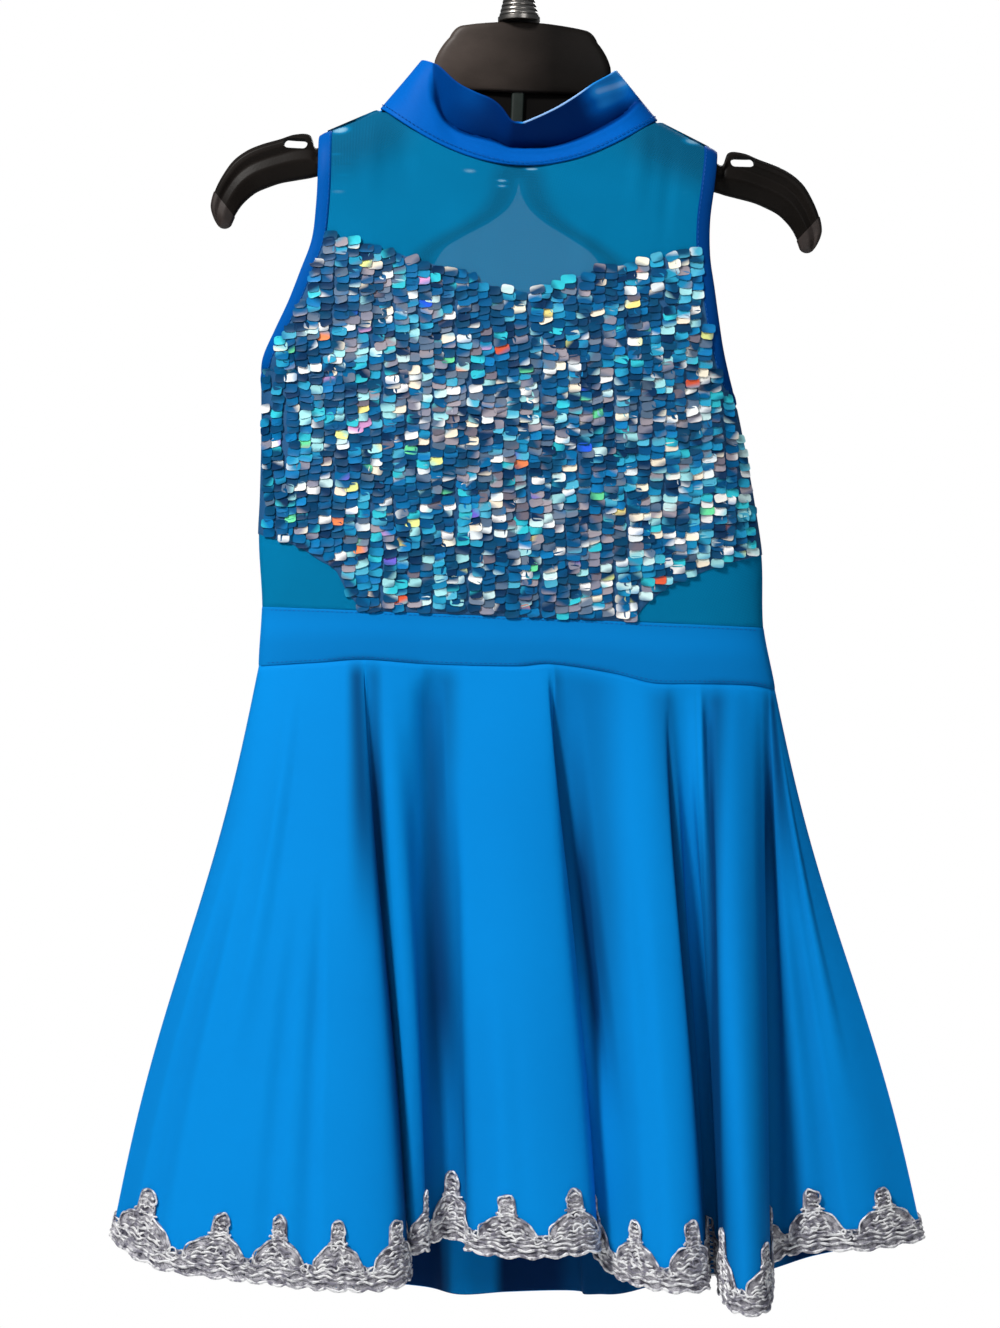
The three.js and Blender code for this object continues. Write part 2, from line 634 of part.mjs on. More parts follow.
// Lace sewn on the outside of the hem: a band with a domed scallop every LACE_PITCH.
function buildLace(name, point, stops, side) {
  const length = WAIST_BOTTOM - HEM_LEVEL;
  const height = (i) => {
    const phase = (i % SCALLOP_STEPS) / SCALLOP_STEPS;
    return THREE.MathUtils.lerp(LACE_BAND, LACE_PEAK, Math.sin(Math.PI * phase));
  };
  const normal = normalsOf(point, side, stops);
  const positions = [];
  for (const depth of [SEAM + LACE_WALL, SEAM]) {
    for (const row of [0, 1]) {
      stops.forEach((u, i) => {
        const v = 1 + THREE.MathUtils.lerp(-height(i), LACE_DROP, row) / length;
        positions.push(...point(u, v).addScaledVector(normal(u, v), depth));
      });
    }
  }
  add(name, closedGrid(positions, stops.length, 2), 'lace');
}

// ---------------------------------------------------------------- hanger
function solidOf(geometry) {
  const plain = geometry.clone();
  plain.deleteAttribute('normal');
  plain.deleteAttribute('uv');
  const merged = mergeVertices(plain, 1e-4);
  return new wasm.Manifold(new wasm.Mesh({
    numProp: 3,
    vertProperties: new Float32Array(merged.attributes.position.array),
    triVerts: new Uint32Array(merged.index.array),
  }));
}

function geometryOf(solid) {
  const { vertProperties, triVerts } = solid.getMesh();
  const geometry = new THREE.BufferGeometry();
  geometry.setAttribute('position', new THREE.Float32BufferAttribute(vertProperties, 3));
  geometry.setIndex(Array.from(triVerts));
  geometry.computeVertexNormals();
  return geometry;
}

// A shape drawn in the XZ plane, made `depth` thick about y = 0.
function slab(shape, depth, bevel = 0) {
  const geometry = new THREE.ExtrudeGeometry(shape, {
    depth: depth - 2 * bevel,
    bevelEnabled: bevel > 0,
    bevelThickness: bevel,
    bevelSize: bevel,
    bevelOffset: -bevel,
    bevelSegments: 2,
    curveSegments: 8,
  });
  return geometry.translate(0, 0, bevel - depth / 2).rotateX(Math.PI / 2);
}

// One arm: six-sided sections, widest at the middle, so its upper faces look up and its lower
// faces look down.
function arm(sign) {
  const positions = [];
  const sides = 6;
  for (const [upperX, upperZ, lowerX, lowerZ, half] of ARM_SECTIONS) {
    for (const [share, width] of [
      [0, ARM_EDGE], [0.5, 1], [1, 0.5], [1, -0.5], [0.5, -1], [0, -ARM_EDGE],
    ]) {
      positions.push(
        sign * THREE.MathUtils.lerp(upperX, lowerX, share),
        width * half,
        THREE.MathUtils.lerp(upperZ, lowerZ, share),
      );
    }
  }
  const index = [];
  const last = (ARM_SECTIONS.length - 1) * sides;
  for (let s = 0; s < last; s += sides) {
    for (let k = 0; k < sides; k += 1) {
      const next = (k + 1) % sides;
      index.push(s + k, s + next, s + sides + next, s + k, s + sides + next, s + sides + k);
    }
  }
  for (let k = 1; k < sides - 1; k += 1) {
    index.push(0, k + 1, k, last, last + k, last + k + 1);
  }
  return outward(new THREE.BufferGeometry(), positions, index);
}

function buildHanger() {
  const head = new THREE.Shape();
  const corner = HEAD_TOP_HALF + HEAD_ROUND;
  head.moveTo(-HEAD_HALF - HEAD_FLARE, HEAD_FOOT);
  head.lineTo(-HEAD_HALF, HEAD_SHOULDER);
  head.lineTo(-corner, HEAD_CROWN - HEAD_ROUND);
  head.quadraticCurveTo(-corner + HEAD_ROUND / 2, HEAD_CROWN, -HEAD_TOP_HALF, HEAD_CROWN);
  head.quadraticCurveTo(0, -HEAD_CROWN, HEAD_TOP_HALF, HEAD_CROWN);
  head.quadraticCurveTo(corner - HEAD_ROUND / 2, HEAD_CROWN, corner, HEAD_CROWN - HEAD_ROUND);
  head.lineTo(HEAD_HALF, HEAD_SHOULDER);
  head.lineTo(HEAD_HALF + HEAD_FLARE, HEAD_FOOT);
  head.closePath();

  const plate = new THREE.Shape();
  plate.moveTo(-PLATE.topHalf, PLATE.top);
  plate.lineTo(PLATE.topHalf, PLATE.top);
  plate.lineTo(PLATE.footHalf, PLATE.foot);
  plate.quadraticCurveTo(0, PLATE.arch, -PLATE.footHalf, PLATE.foot);
  plate.closePath();

  let body = solidOf(slab(head, HEAD_DEPTH, HEAD_BEVEL));
  const strut = new THREE.BoxGeometry(STRUT.width, STRUT.depth, STRUT.top - STRUT.foot);
  strut.translate(STRUT.x, 0, (STRUT.top + STRUT.foot) / 2);
  for (const piece of [slab(plate, PLATE.thickness), strut, arm(-1), arm(1)]) {
    body = body.add(solidOf(piece));
  }
  const length = NOTCH.outer - NOTCH.inner;
  const height = NOTCH.roof - NOTCH.floor;
  for (const sign of [-1, 1]) {
    const slot = new THREE.BoxGeometry(length, 2 * HEAD_DEPTH, height);
    slot.translate(sign * (NOTCH.inner + length / 2), 0, NOTCH.floor + height / 2);
    body = body.subtract(solidOf(slot));
  }
  const hung = new THREE.Group();
  const pivot = (NOTCH.floor + NOTCH.roof) / 2;     // the lean turns about the notches' height
  hung.position.set(-pivot * Math.sin(TILT), 0, pivot - pivot * Math.cos(TILT));
  hung.rotation.y = TILT;
  add('hanger_body', geometryOf(body), 'plastic', hung);
  costume.add(hung);
}

// ---------------------------------------------------------------- hook
function buildHook() {
  // The ferrule: a tapered metal sleeve with turned rings.
  const profile = [
    [0, FERRULE_FOOT], [FERRULE_BASE, FERRULE_FOOT], [FERRULE_BASE, 2.4], [FERRULE_BASE - 1, 3],
  ];
  for (let band = 0; band < FERRULE_BANDS; band += 1) {
    const z = BAND_START + band * BAND_PITCH;
    const r = BAND_RADIUS - band * BAND_TAPER;
    profile.push([r, z - 0.6], [r - 0.6, z], [r - 0.35, z + 1.6]);
  }
  profile.push([8.2, FERRULE_TOP - 2], [5, FERRULE_TOP], [0, FERRULE_TOP]);
  const ferrule = new THREE.LatheGeometry(profile.map(([r, z]) => new THREE.Vector2(r, z)), 20);
  add('hook_ferrule', ferrule.rotateX(Math.PI / 2), 'metal');

  // The hook: a round wire that rises from the ferrule, swings to the right, turns over the
  // crest and comes down on the left.
  const centre = HOOK_RISE + WIRE - HOOK_RADIUS;
  const foot = FERRULE_TOP + SEAM;
  const points = [new THREE.Vector3(0, 0, foot), new THREE.Vector3(0, 0, foot + SHANK)];
  for (const degrees of HOOK_TURNS) {
    const turn = THREE.MathUtils.degToRad(degrees);
    points.push(new THREE.Vector3(
      HOOK_RADIUS * Math.cos(turn), 0, centre + HOOK_RADIUS * Math.sin(turn)));
  }
  const path = new THREE.CatmullRomCurve3(points, false, 'centripetal');
  const section = new THREE.Shape();
  section.absarc(0, 0, WIRE, 0, 2 * Math.PI, false);
  const hook = new THREE.ExtrudeGeometry(section, {
    steps: 48, bevelEnabled: false, extrudePath: path, curveSegments: 4 });
  add('hook', hook, 'metal');
}

buildHook();
buildHanger();
buildCollar();
buildFront();
buildBack();
buildArmholes();
buildWaistband();
buildSkirt();

costume.position.z = -HOOK_RISE;

export default costume;
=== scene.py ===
"""A child's lyrical dance costume on its shop hanger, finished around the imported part.

Shapes are worked out in millimetres in the costume's own frame, with heights measured from the
top of the hanger's head, and are put into the shared frame in metres by `make`.
+X is the right of someone facing the front, +Y goes from front to back and +Z is up.
"""

import math

import bpy
import numpy as np
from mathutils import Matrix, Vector


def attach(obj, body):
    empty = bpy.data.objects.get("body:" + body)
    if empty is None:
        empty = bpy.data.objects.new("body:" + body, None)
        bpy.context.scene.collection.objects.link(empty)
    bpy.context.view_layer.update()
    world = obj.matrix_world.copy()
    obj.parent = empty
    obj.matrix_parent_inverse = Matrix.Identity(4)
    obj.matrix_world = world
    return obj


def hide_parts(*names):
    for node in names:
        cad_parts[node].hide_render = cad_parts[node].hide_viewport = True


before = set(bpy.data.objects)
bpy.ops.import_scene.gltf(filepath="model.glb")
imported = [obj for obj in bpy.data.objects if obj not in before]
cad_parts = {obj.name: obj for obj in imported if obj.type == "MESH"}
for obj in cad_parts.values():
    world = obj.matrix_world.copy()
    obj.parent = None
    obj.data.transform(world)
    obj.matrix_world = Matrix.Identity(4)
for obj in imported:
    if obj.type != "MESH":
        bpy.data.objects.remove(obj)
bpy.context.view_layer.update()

MM = 0.001
SIDES = (("left", -1), ("right", 1))
FACES = (("front", -1), ("back", 1))

# ---------------------------------------------------------------- driving dimensions
HOOK_RISE = 76.0                   # inside crest of the hook above the hanger's head
TILT = math.radians(2.4)           # the hanger and the bodice lean down to the right
SEAM = 0.3                         # space between pieces that are sewn together
SIDE_SEAM = 0.02                   # the same at the skirt's side seams, closed to the light
TUCK = 3.0                         # reach of a panel's edge under its binding
UNDER = 3.0                        # reach of panels up under the collar and down under the band

# Thickness of each kind of cloth, and how far a binding's face stands out.
MESH_WALL = 0.9
KNIT_WALL = 1.2
SKIRT_WALL = 1.1
BAND_WALL = 1.0
BINDING_WALL = 2.0
BINDING_LIFT = 0.5
BINDING_CROWN = 0.5

NECK_HALF = 80.0
NECK_SIDE = -54.0
NECK_FRONT = -86.0
NECK_BACK = -61.0
SHOULDER_SLOPE = 0.486
SHOULDER_ROUND = 30.0
BINDING_WIDTH = 8.0
ARMHOLE_BOTTOM = -209.0
ARMHOLE_MIDDLE = -140.0
ARMHOLE_DEPTH = 15.0
WAIST_TOP = -345.0
WAIST_BOTTOM = -380.0
HEM_LEVEL = -707.0
SKIRT_LENGTH = WAIST_BOTTOM - HEM_LEVEL
FLARE_DELAY = 0.035
FOLD_GROWTH = 0.85

COLLAR_TOP_HALF = 56.0
COLLAR_TOP_SIDE = -26.0
COLLAR_TOP_BACK = -27.0
COLLAR_TOP_DEPTH = 23.0
COLLAR_WALL = 1.4
COLLAR_SLIT = 0.008
TAB_REACH = 0.17
TAB_FOOT = 0.3
TAB_HEAD = 0.75
TAB_WALL = 1.2

LACE_DROP = 3.0                    # from the skirt's own edge down to the lace's
BACK_LACE_RISE = 2.6               # the back's lace sits higher, hidden by the front's hem
SKIRT_STEP = 1.75                  # from one column of the skirt's mesh to the next

# ---------------------------------------------------------------- tables of sections and folds
# Half widths of the bodice: height, left half, right half.
BODICE_SECTIONS = [
    (-54, 116, 115), (-71, 116, 115), (-93, 116, 112.5), (-113, 117, 110), (-133, 119.5, 110),
    (-151, 126, 112.5), (-169, 133, 115), (-186, 141, 117.7), (-202, 148, 121.5),
    (-216, 149, 125.5), (-243, 149, 131), (-283, 150, 138), (-306, 151, 141), (-347, 149, 142),
    (-380, 151, 148.5),
]

# Half depth of the body at its centre: height, front, back.
DEPTH_SECTIONS = [
    (-380, 20, 20), (-347, 20, 20), (-243, 22, 20), (-160, 21, 19), (-110, 20, 19), (-54, 18, 18),
]

# Upper edge of the sequined front: share of the half width, height.
SWEETHEART = [
    (0, -160), (0.12, -156), (0.24, -151.5), (0.36, -146.5), (0.6, -139.5), (0.76, -136),
    (0.92, -131.5), (1, -129.5),
]

# Lower edge of the sequined front, over the side inserts: height, share of the left half
# width, share of the right.
INSERT_EDGE = [
    (-303, 1, 1), (-310, 0.84, 0.83), (-317, 0.765, 0.71), (-323, 0.7, 0.62),
    (-334, 0.665, 0.52), (-343.2, 0.615, 0.47),
]

# Keyhole of the back and the outer edge of its binding: height, half width.
KEYHOLE = [
    (-90, 0), (-98, 2), (-106, 7), (-114, 17), (-123, 32.5), (-133, 45.5), (-155, 54),
    (-183, 54), (-211, 42), (-231, 22), (-243, 0),
]
KEYHOLE_OUTER = [
    (-76, 0), (-86, 10), (-94, 18.5), (-102, 30), (-112, 44.5), (-127, 57), (-155, 65),
    (-185, 64.5), (-216, 52), (-239, 29), (-253, 0),
]

# Seam between the waistband and the skirt: share of the half width, height.
WAIST_SEAM = [
    (-1, -379.5), (-0.75, -375.5), (-0.6, -373), (-0.36, -374), (0, -373), (0.12, -371),
    (0.37, -375), (0.52, -379.5), (0.67, -379), (0.9, -378.5), (1, -380.5),
]

# Folds of the front and back skirt, from the left side seam to the right one:
# x at the waist, then x, y and height at the hem. Front folds stand out towards -Y.
FRONT_FOLDS = [
    (-151, -236, 0, -706), (-138.6, -210, -20, -719), (-119, -157, -36, -724),
    (-102, -103, -44, -728), (-92, -71, -40, -727), (-89, -63, -26, -722),
    (-87, -67.5, -12, -718), (-77, -60, -21, -711), (-61, -53, -11, -710),
    (-47.6, -40, -9, -705.5), (-33, -28, -24, -709.5), (-10, 7.5, -36, -711),
    (11.7, 39, -32, -709), (18.7, 45.5, -18, -709.6), (24, 43, -9, -713),
    (43.4, 57, -20, -725), (65, 82, -40, -729), (81, 103.5, -38, -729),
    (87, 109.5, -20, -727), (95, 111.5, -10, -727), (106.7, 119, -40, -737.5),
    (120.5, 129, -52, -740), (132.4, 140, -44, -738), (139.3, 145, -20, -724),
    (143.3, 151, -10, -716), (145.2, 168.5, -17, -711), (147.2, 203, -15, -710),
    (148.5, 234, 0, -707),
]
BACK_FOLDS = [
    (-151, -236, 0, -706), (-135, -200, 28, -722), (-115, -152, 42, -734),
    (-99, -118, 20, -736), (-82, -84, 38, -741), (-62, -54, 44, -745), (-44, -34, 17, -744),
    (-18, -6, 40, -747), (10, 30, 44, -747), (33, 57, 18, -744), (56, 88, 40, -741),
    (82, 120, 44, -737), (100, 142, 19, -731), (119, 174, 36, -725), (138, 208, 24, -716),
    (148.5, 234, 0, -707),
]

# Soft troughs and ridges over the folds: place at the waist and at the hem as shares of the
# hem, half width in millimetres, where along the skirt the crease starts and ends, and its
# height (a trough is negative).
FRONT_CREASES = [
    (0.045, 0.045, 12, 0.25, 1.3, -2.2), (0.10, 0.10, 13, 0.0, 0.75, 1.6),
    (0.150, 0.155, 10, 0.35, 1.2, -1.6), (0.185, 0.190, 9, 0.3, 1.4, -1.8),
    (0.292, 0.315, 9, -0.1, 0.7, -4.0), (0.336, 0.347, 10, 0.0, 1.4, 4.0),
    (0.367, 0.362, 12, -0.3, 1.5, -5.8), (0.384, 0.385, 15, 0.1, 1.5, -4.0),
    (0.391, 0.390, 5, 0.7, 1.5, -2.5), (0.435, 0.44, 11, 0.45, 1.25, 1.2),
    (0.53, 0.578, 10, -0.1, 0.78, -6.0), (0.548, 0.585, 13, -0.1, 0.82, -3.0),
    (0.625, 0.625, 9, 0.2, 1.15, -1.0), (0.676, 0.688, 10, 0.0, 1.4, -5.0),
    (0.710, 0.715, 12, 0.1, 1.4, -4.0), (0.762, 0.735, 8, -0.2, 0.6, -3.5),
    (0.872, 0.856, 11, 0.05, 1.4, -4.0), (0.905, 0.915, 10, 0.3, 1.3, -1.8),
    (0.945, 0.945, 9, 0.05, 0.8, 1.5),
]
BACK_CREASES = [
    (0.05, 0.05, 12, 0.3, 1.2, -2.0), (0.13, 0.13, 10, 0.0, 0.7, 1.6),
    (0.22, 0.225, 9, -0.3, 1.2, -5.0), (0.33, 0.33, 9, 0.3, 1.2, -1.6),
    (0.40, 0.405, 8, -0.3, 1.0, -4.5), (0.47, 0.47, 8, 0.1, 0.9, 1.5),
    (0.55, 0.55, 9, -0.1, 0.6, -2.0), (0.585, 0.59, 9, -0.3, 1.3, -5.0),
    (0.68, 0.68, 9, 0.35, 1.2, -1.8), (0.77, 0.765, 9, -0.3, 1.2, -4.5),
    (0.83, 0.83, 9, 0.1, 0.9, 1.4), (0.94, 0.94, 12, 0.25, 1.2, -2.0),
]

# Weight of the painted shade in the folds along the hem: share of the hem, weight.
FRONT_PAINTED_FOLD_SHADE = [
    (0, 0.9), (0.3, 0.75), (0.318, 0.7), (0.33, 0.2), (0.344, 0.2), (0.352, 0.6), (0.362, 0.95),
    (0.374, 1.05), (0.39, 0.6), (0.42, 0.6), (0.53, 0.5), (0.55, 0.5), (0.565, 0.75), (0.66, 0.7),
    (0.69, 0.75), (0.705, 0.5), (0.76, 0.65), (0.87, 0.5), (1, 0.8),
]
BACK_PAINTED_FOLD_SHADE = [(0, 1), (1, 1)]

# Soft shade along the front's folds, laid out as the creases are; the last number is how dark
# it is, or how much lighter than its surroundings where it is negative.
FRONT_SHADES = [
    (0.257, 0.262, 24, -0.4, 0.5, 0.75), (0.290, 0.290, 22, 0.1, 1.4, 0.25),
    (0.322, 0.318, 12, -0.4, 0.5, 0.45), (0.349, 0.360, 13, -0.4, 1.0, -0.38),
    (0.375, 0.374, 20, -0.4, 0.4, 0.25), (0.372, 0.372, 13, 0.55, 1.5, -0.6),
    (0.562, 0.575, 26, -0.4, 0.8, 0.3), (0.530, 0.533, 17, 0.15, 1.5, -0.75),
    (0.541, 0.556, 30, 0.4, 1.5, -0.6), (0.557, 0.563, 6, 0.2, 0.85, 0.45),
    (0.668, 0.690, 24, -0.4, 0.4, 0.36), (0.757, 0.736, 21, -0.4, 1.5, 0.37),
    (0.795, 0.785, 15, -0.3, 1.5, 0.2), (0.868, 0.860, 16, -0.4, 0.45, 0.5),
    (0.345, 0.349, 11, -0.4, 0.5, -0.3), (0.389, 0.385, 15, -0.4, 0.38, 0.25),
    (0.690, 0.692, 16, -0.4, 0.3, 0.3), (0.705, 0.708, 10, 0.0, 0.6, -0.3),
    (0.744, 0.730, 7, -0.4, 0.35, -0.35), (0.774, 0.735, 9, -0.4, 0.85, 0.42),
    (0.915, 0.900, 34, -0.4, 0.42, 0.75), (0.367, 0.364, 7, -0.1, 1.0, 0.15),
    (0.592, 0.590, 22, -0.4, 0.62, 0.2), (0.544, 0.548, 6, -0.4, 0.3, 0.3),
]


# ---------------------------------------------------------------- curves
def lerp(a, b, t):
    return a + (b - a) * t


def along(rows, at, column=1, key=0):
    """Smooth curve through a table's rows: cubic pieces whose slope at each row is that of the
    chord between its neighbours."""
    rows = np.array(rows, float)
    rows = rows[np.argsort(rows[:, key])]
    k, c = rows[:, key], rows[:, column]
    low = np.maximum(np.arange(len(k)) - 1, 0)
    high = np.minimum(np.arange(len(k)) + 1, len(k) - 1)
    slope = (c[high] - c[low]) / (k[high] - k[low])
    i = np.clip(np.searchsorted(k, at, "right") - 1, 0, len(k) - 2)
    span = k[i + 1] - k[i]
    t = np.clip((at - k[i]) / span, 0, 1)
    return (
        c[i] * (2 * t**3 - 3 * t**2 + 1)
        + slope[i] * span * (t**3 - 2 * t**2 + t)
        + c[i + 1] * (3 * t**2 - 2 * t**3)
        + slope[i + 1] * span * (t**3 - t**2)
    )


def through(rows, at, column):
    """The same with the rows evenly spaced: `at` runs from 0 to 1 over the whole table."""
    numbered = [(i / (len(rows) - 1), row[column]) for i, row in enumerate(rows)]
    return along(numbered, at)


def bump(at, centre, half):
    """A smooth hill of height 1 that is 0 beyond `half` from `centre`."""
    t = np.clip(np.abs(at - centre) / half, 0, 1)
    return 0.5 + 0.5 * np.cos(np.pi * t)


def ramp(at, start, end):
    """0 before `start`, 1 after `end`, and smooth between them."""
    t = np.clip((at - start) / (end - start), 0, 1)
    return t * t * (3 - 2 * t)


def unit(v):
    return v / np.maximum(np.linalg.norm(v, axis=-1, keepdims=True), 1e-9)


# ---------------------------------------------------------------- form of the body
def lean(x, y, z):
    """The lean of the bodice, a shear that dies out towards the hem."""
    fade = np.clip((z - HEM_LEVEL) / (WAIST_BOTTOM - HEM_LEVEL), 0, 1)
    return np.stack(np.broadcast_arrays(x, y, z - x * math.tan(TILT) * fade), -1)


def half_width(x, z):
    return np.where(x < 0, along(BODICE_SECTIONS, z, 1), along(BODICE_SECTIONS, z, 2))


def shoulder_height(x):
    out = np.abs(x) - NECK_HALF
    return NECK_SIDE - out * np.where(out > 0, SHOULDER_SLOPE, SHOULDER_SLOPE / 2)


def armhole_depth(z):
    below = np.clip((ARMHOLE_MIDDLE - z) / (ARMHOLE_MIDDLE - ARMHOLE_BOTTOM), 0, 1)
    return ARMHOLE_DEPTH * np.sqrt(1 - below**2)


def body_depth(side, x, z):
    """y of the body's surface: a lens from side to side, rounded over the shoulder."""
    share = np.minimum(1, np.abs(x) / half_width(x, z))
    edge = armhole_depth(z)
    middle = along(DEPTH_SECTIONS, z, 1 if side < 0 else 2)
    drop = np.clip((shoulder_height(x) - z) / SHOULDER_ROUND, 0, 1)
    arch = np.sqrt(1 - (1 - drop) ** 2)
    lens = edge + (middle - edge) * np.sqrt(1 - share**3)
    return side * np.maximum(SEAM / 2, lens * arch)


def armhole_inset(z, width):
    """Width that the armhole's binding takes from a panel's edge."""
    foot = ARMHOLE_BOTTOM - BINDING_WIDTH
    share = np.clip((NECK_SIDE - z) / (NECK_SIDE - foot), 0, 1)
    return width * np.sqrt(1 - share**8)


def across_body(u, z):
    share = 2 * u - 1
    return share * (half_width(share, z) - armhole_inset(z, BINDING_WIDTH - TUCK))


def neck(centre, x):
    return lerp(centre, NECK_SIDE, (x / NECK_HALF) ** 2)


def panel_top(centre, u):
    x = np.abs(2 * u - 1) * (BODICE_SECTIONS[0][2] - BINDING_WIDTH)
    return np.where(x < NECK_HALF, neck(centre, x), shoulder_height(x))


def waist_seam(x):
    return along(WAIST_SEAM, x / half_width(x, WAIST_BOTTOM))


def sweetheart(u):
    return along(SWEETHEART, np.abs(2 * u - 1))


def insert_edge(u):
    share = 2 * u - 1
    sides = [np.where(out < INSERT_EDGE[-1][column], WAIST_TOP, along(INSERT_EDGE, out, 0, column))
             for out, column in ((-share, 1), (share, 2))]
    return np.where(share < 0, *sides)


# ---------------------------------------------------------------- meshes
def make(name, points, faces, material, uv=None, sharp=40, colours=None):
    """An object at the origin from points in the costume's millimetres and rows of corners."""
    mesh = bpy.data.meshes.new(name)
    placed = (points - np.array([0, 0, HOOK_RISE])) * MM
    faces = [f for block in faces for f in block.tolist()]
    mesh.from_pydata(placed.tolist(), [], faces)
    corners = np.empty(len(mesh.loops), np.int32)
    mesh.loops.foreach_get("vertex_index", corners)
    if uv is not None:
        layer = mesh.uv_layers.new(name="cloth")
        layer.data.foreach_set("uv", (uv[corners] * MM).astype(np.float32).ravel())
    if colours is not None:
        layer = mesh.color_attributes.new("tint", "FLOAT_COLOR", "POINT")
        layer.data.foreach_set("color", colours.astype(np.float32).ravel())
    mesh.polygons.foreach_set("use_smooth", np.ones(len(mesh.polygons), bool))
    mesh.set_sharp_from_angle(angle=math.radians(sharp))
    mesh.materials.append(material)
    mesh.validate()
    made = bpy.data.objects.new(name, mesh)
    bpy.context.collection.objects.link(made)
    return made


def facing_out(points, faces):
    """The same faces, turned round if they face into the body that they close."""
    volume = 0
    for block in faces:
        a = points[block[:, 0]]
        for k in range(1, block.shape[1] - 1):
            volume += (a * np.cross(points[block[:, k]], points[block[:, k + 1]])).sum()
    return faces if volume > 0 else [block[:, ::-1] for block in faces]


def repeated(faces, each, count):
    """The faces of one set of `each` points, for `count` such sets in a row."""
    offsets = (np.arange(count) * each)[:, None, None]
    return [(block[None] + offsets).reshape(-1, block.shape[1]) for block in faces]


def grid_faces(rows, columns, wrap_rows=False, wrap_columns=False):
    """Four-sided faces between the neighbours of a grid of numbered points."""
    r = np.arange(rows if wrap_rows else rows - 1)[:, None]
    c = np.arange(columns if wrap_columns else columns - 1)[None, :]
    r2, c2 = (r + 1) % rows, (c + 1) % columns
    corners = (r * columns + c, r2 * columns + c, r2 * columns + c2, r * columns + c2)
    return np.stack(corners, -1).reshape(-1, 4)


def capped_faces(rows, columns):
    """Faces of a row of rings with a point over each end; those two points are numbered last."""
    k = np.arange(columns)
    beside, base = (k + 1) % columns, (rows - 1) * columns
    first, last = rows * columns + 0 * k, rows * columns + 1 + 0 * k
    return [grid_faces(rows, columns, wrap_columns=True), np.stack([first, k, beside], -1),
            np.stack([last, base + beside, base + k], -1)]


def normals_of(points, toward, ring=False):
    """Unit normals of a grid of points, on the side that `toward` says."""
    if ring:
        padded = np.concatenate([points[:, -2:], points, points[:, :2]], 1)
        across = np.gradient(padded, axis=1)[:, 2:-2]
    else:
        across = np.gradient(points, axis=1)
    normal = unit(np.cross(across, np.gradient(points, axis=0)))
    return normal if (normal * toward).sum() > 0 else -normal


def flat_map(points):
    """Distances across and down the cloth, in millimetres, of a grid of points."""
    across = np.linalg.norm(np.diff(points, axis=1), axis=-1)
    down = np.linalg.norm(np.diff(points, axis=0), axis=-1)
    s = np.concatenate([np.zeros((len(points), 1)), across.cumsum(1)], 1)
    t = np.concatenate([np.zeros((1, points.shape[1])), down.cumsum(0)], 0)
    return np.stack([s, t], -1)


ROLL = np.radians([22.5, 67.5, 112.5, 157.5])


def shell(name, points, normal, thickness, material, lift=0.0, ring=False, sharp=40, tint=None):
    """A closed wall of cloth on a grid of points: its outer face stands `lift` out along the
    normals, its inner face is set in by the thickness, and the upper and lower edges are rolled
    over in half circles. The ends are closed, or joined where the grid is a ring."""
    half = thickness / 2
    middle = points + normal * (lift - half)
    edges = []
    for edge, beside in ((-1, -2), (0, 1)):
        out = unit(middle[edge] - middle[beside])
        middle[edge] = middle[edge] - out * half
        turns = ROLL if edge == -1 else ROLL + np.pi
        sign = 1 if edge == -1 else -1
        edges.append(np.stack([
            middle[edge] + half * (math.cos(a) * normal[edge] + sign * math.sin(a) * out)
            for a in turns]))
    outer, inner = middle + half * normal, (middle - half * normal)[::-1]
    loop = np.concatenate([edges[1][2:], outer, edges[0], inner, edges[1][:2]])
    rows, columns = loop.shape[:2]
    cloth = flat_map(points)
    flat = np.concatenate([
        cloth[[0, 0]], cloth, cloth[[-1] * 4], cloth[::-1], cloth[[0, 0]]])
    faces = [grid_faces(rows, columns, wrap_rows=True, wrap_columns=ring)]
    if not ring:
        k = np.arange(rows // 2 - 1)
        for column, turned in ((0, False), (columns - 1, True)):
            caps = np.stack([k, rows - 1 - k, rows - 2 - k, k + 1], -1) * columns + column
            faces.append(caps[:, ::-1] if turned else caps)
    loop, flat = loop.reshape(-1, 3), flat.reshape(-1, 2)
    colours = None
    if tint is not None:
        face, back = tint if isinstance(tint, tuple) else (tint, tint)
        both = np.concatenate([face[[0, 0]], face, face[[-1] * 4], back[::-1], face[[0, 0]]])
        colours = both.reshape(-1, 1) * np.array([1.0, 1.0, 1.0, 0.0]) + np.array([0, 0, 0, 1.0])
    return make(name, loop, facing_out(loop, faces), material, flat, sharp, colours)


STITCH_PITCH, STITCH_REACH, THREAD_RADIUS = 2.8, 0.34, 0.17    # the reach is a share of the pitch


def stitches(name, lines):
    """Running stitches along lines over the cloth, each a row of points and their normals: short
    threads, evenly spaced, that rise a little at the middle and sink into the cloth at the ends."""
    parts = []
    for path, normal in lines:
        gone = np.concatenate([[0], np.linalg.norm(np.diff(path, axis=0), axis=-1).cumsum()])
        count = int(gone[-1] / STITCH_PITCH)
        reach = np.linspace(-STITCH_REACH, STITCH_REACH, 5)
        at = ((np.arange(count) + 0.5)[:, None] + reach) * gone[-1] / count
        raised = 0.1 - 0.35 * np.abs(reach / STITCH_REACH) ** 3
        threads = np.stack([
            np.interp(at, gone, path[:, k]) + raised * np.interp(at, gone, normal[:, k])
            for k in range(3)], -1)
        parts.append(tube(threads, THREAD_RADIUS, 5))
    points, faces = joined(parts)
    return finished(make(name, points, faces, FINISH["thread"], sharp=60), "blue_satin")


def seam_normals(points, normal, reach=SEAM):
    """Normals turned into the seam's plane where an edge lies within `reach` of it."""
    on_seam = np.abs(points[..., 1:2]) < reach
    return unit(np.where(on_seam, normal * np.array([1, 0, 1]), normal))


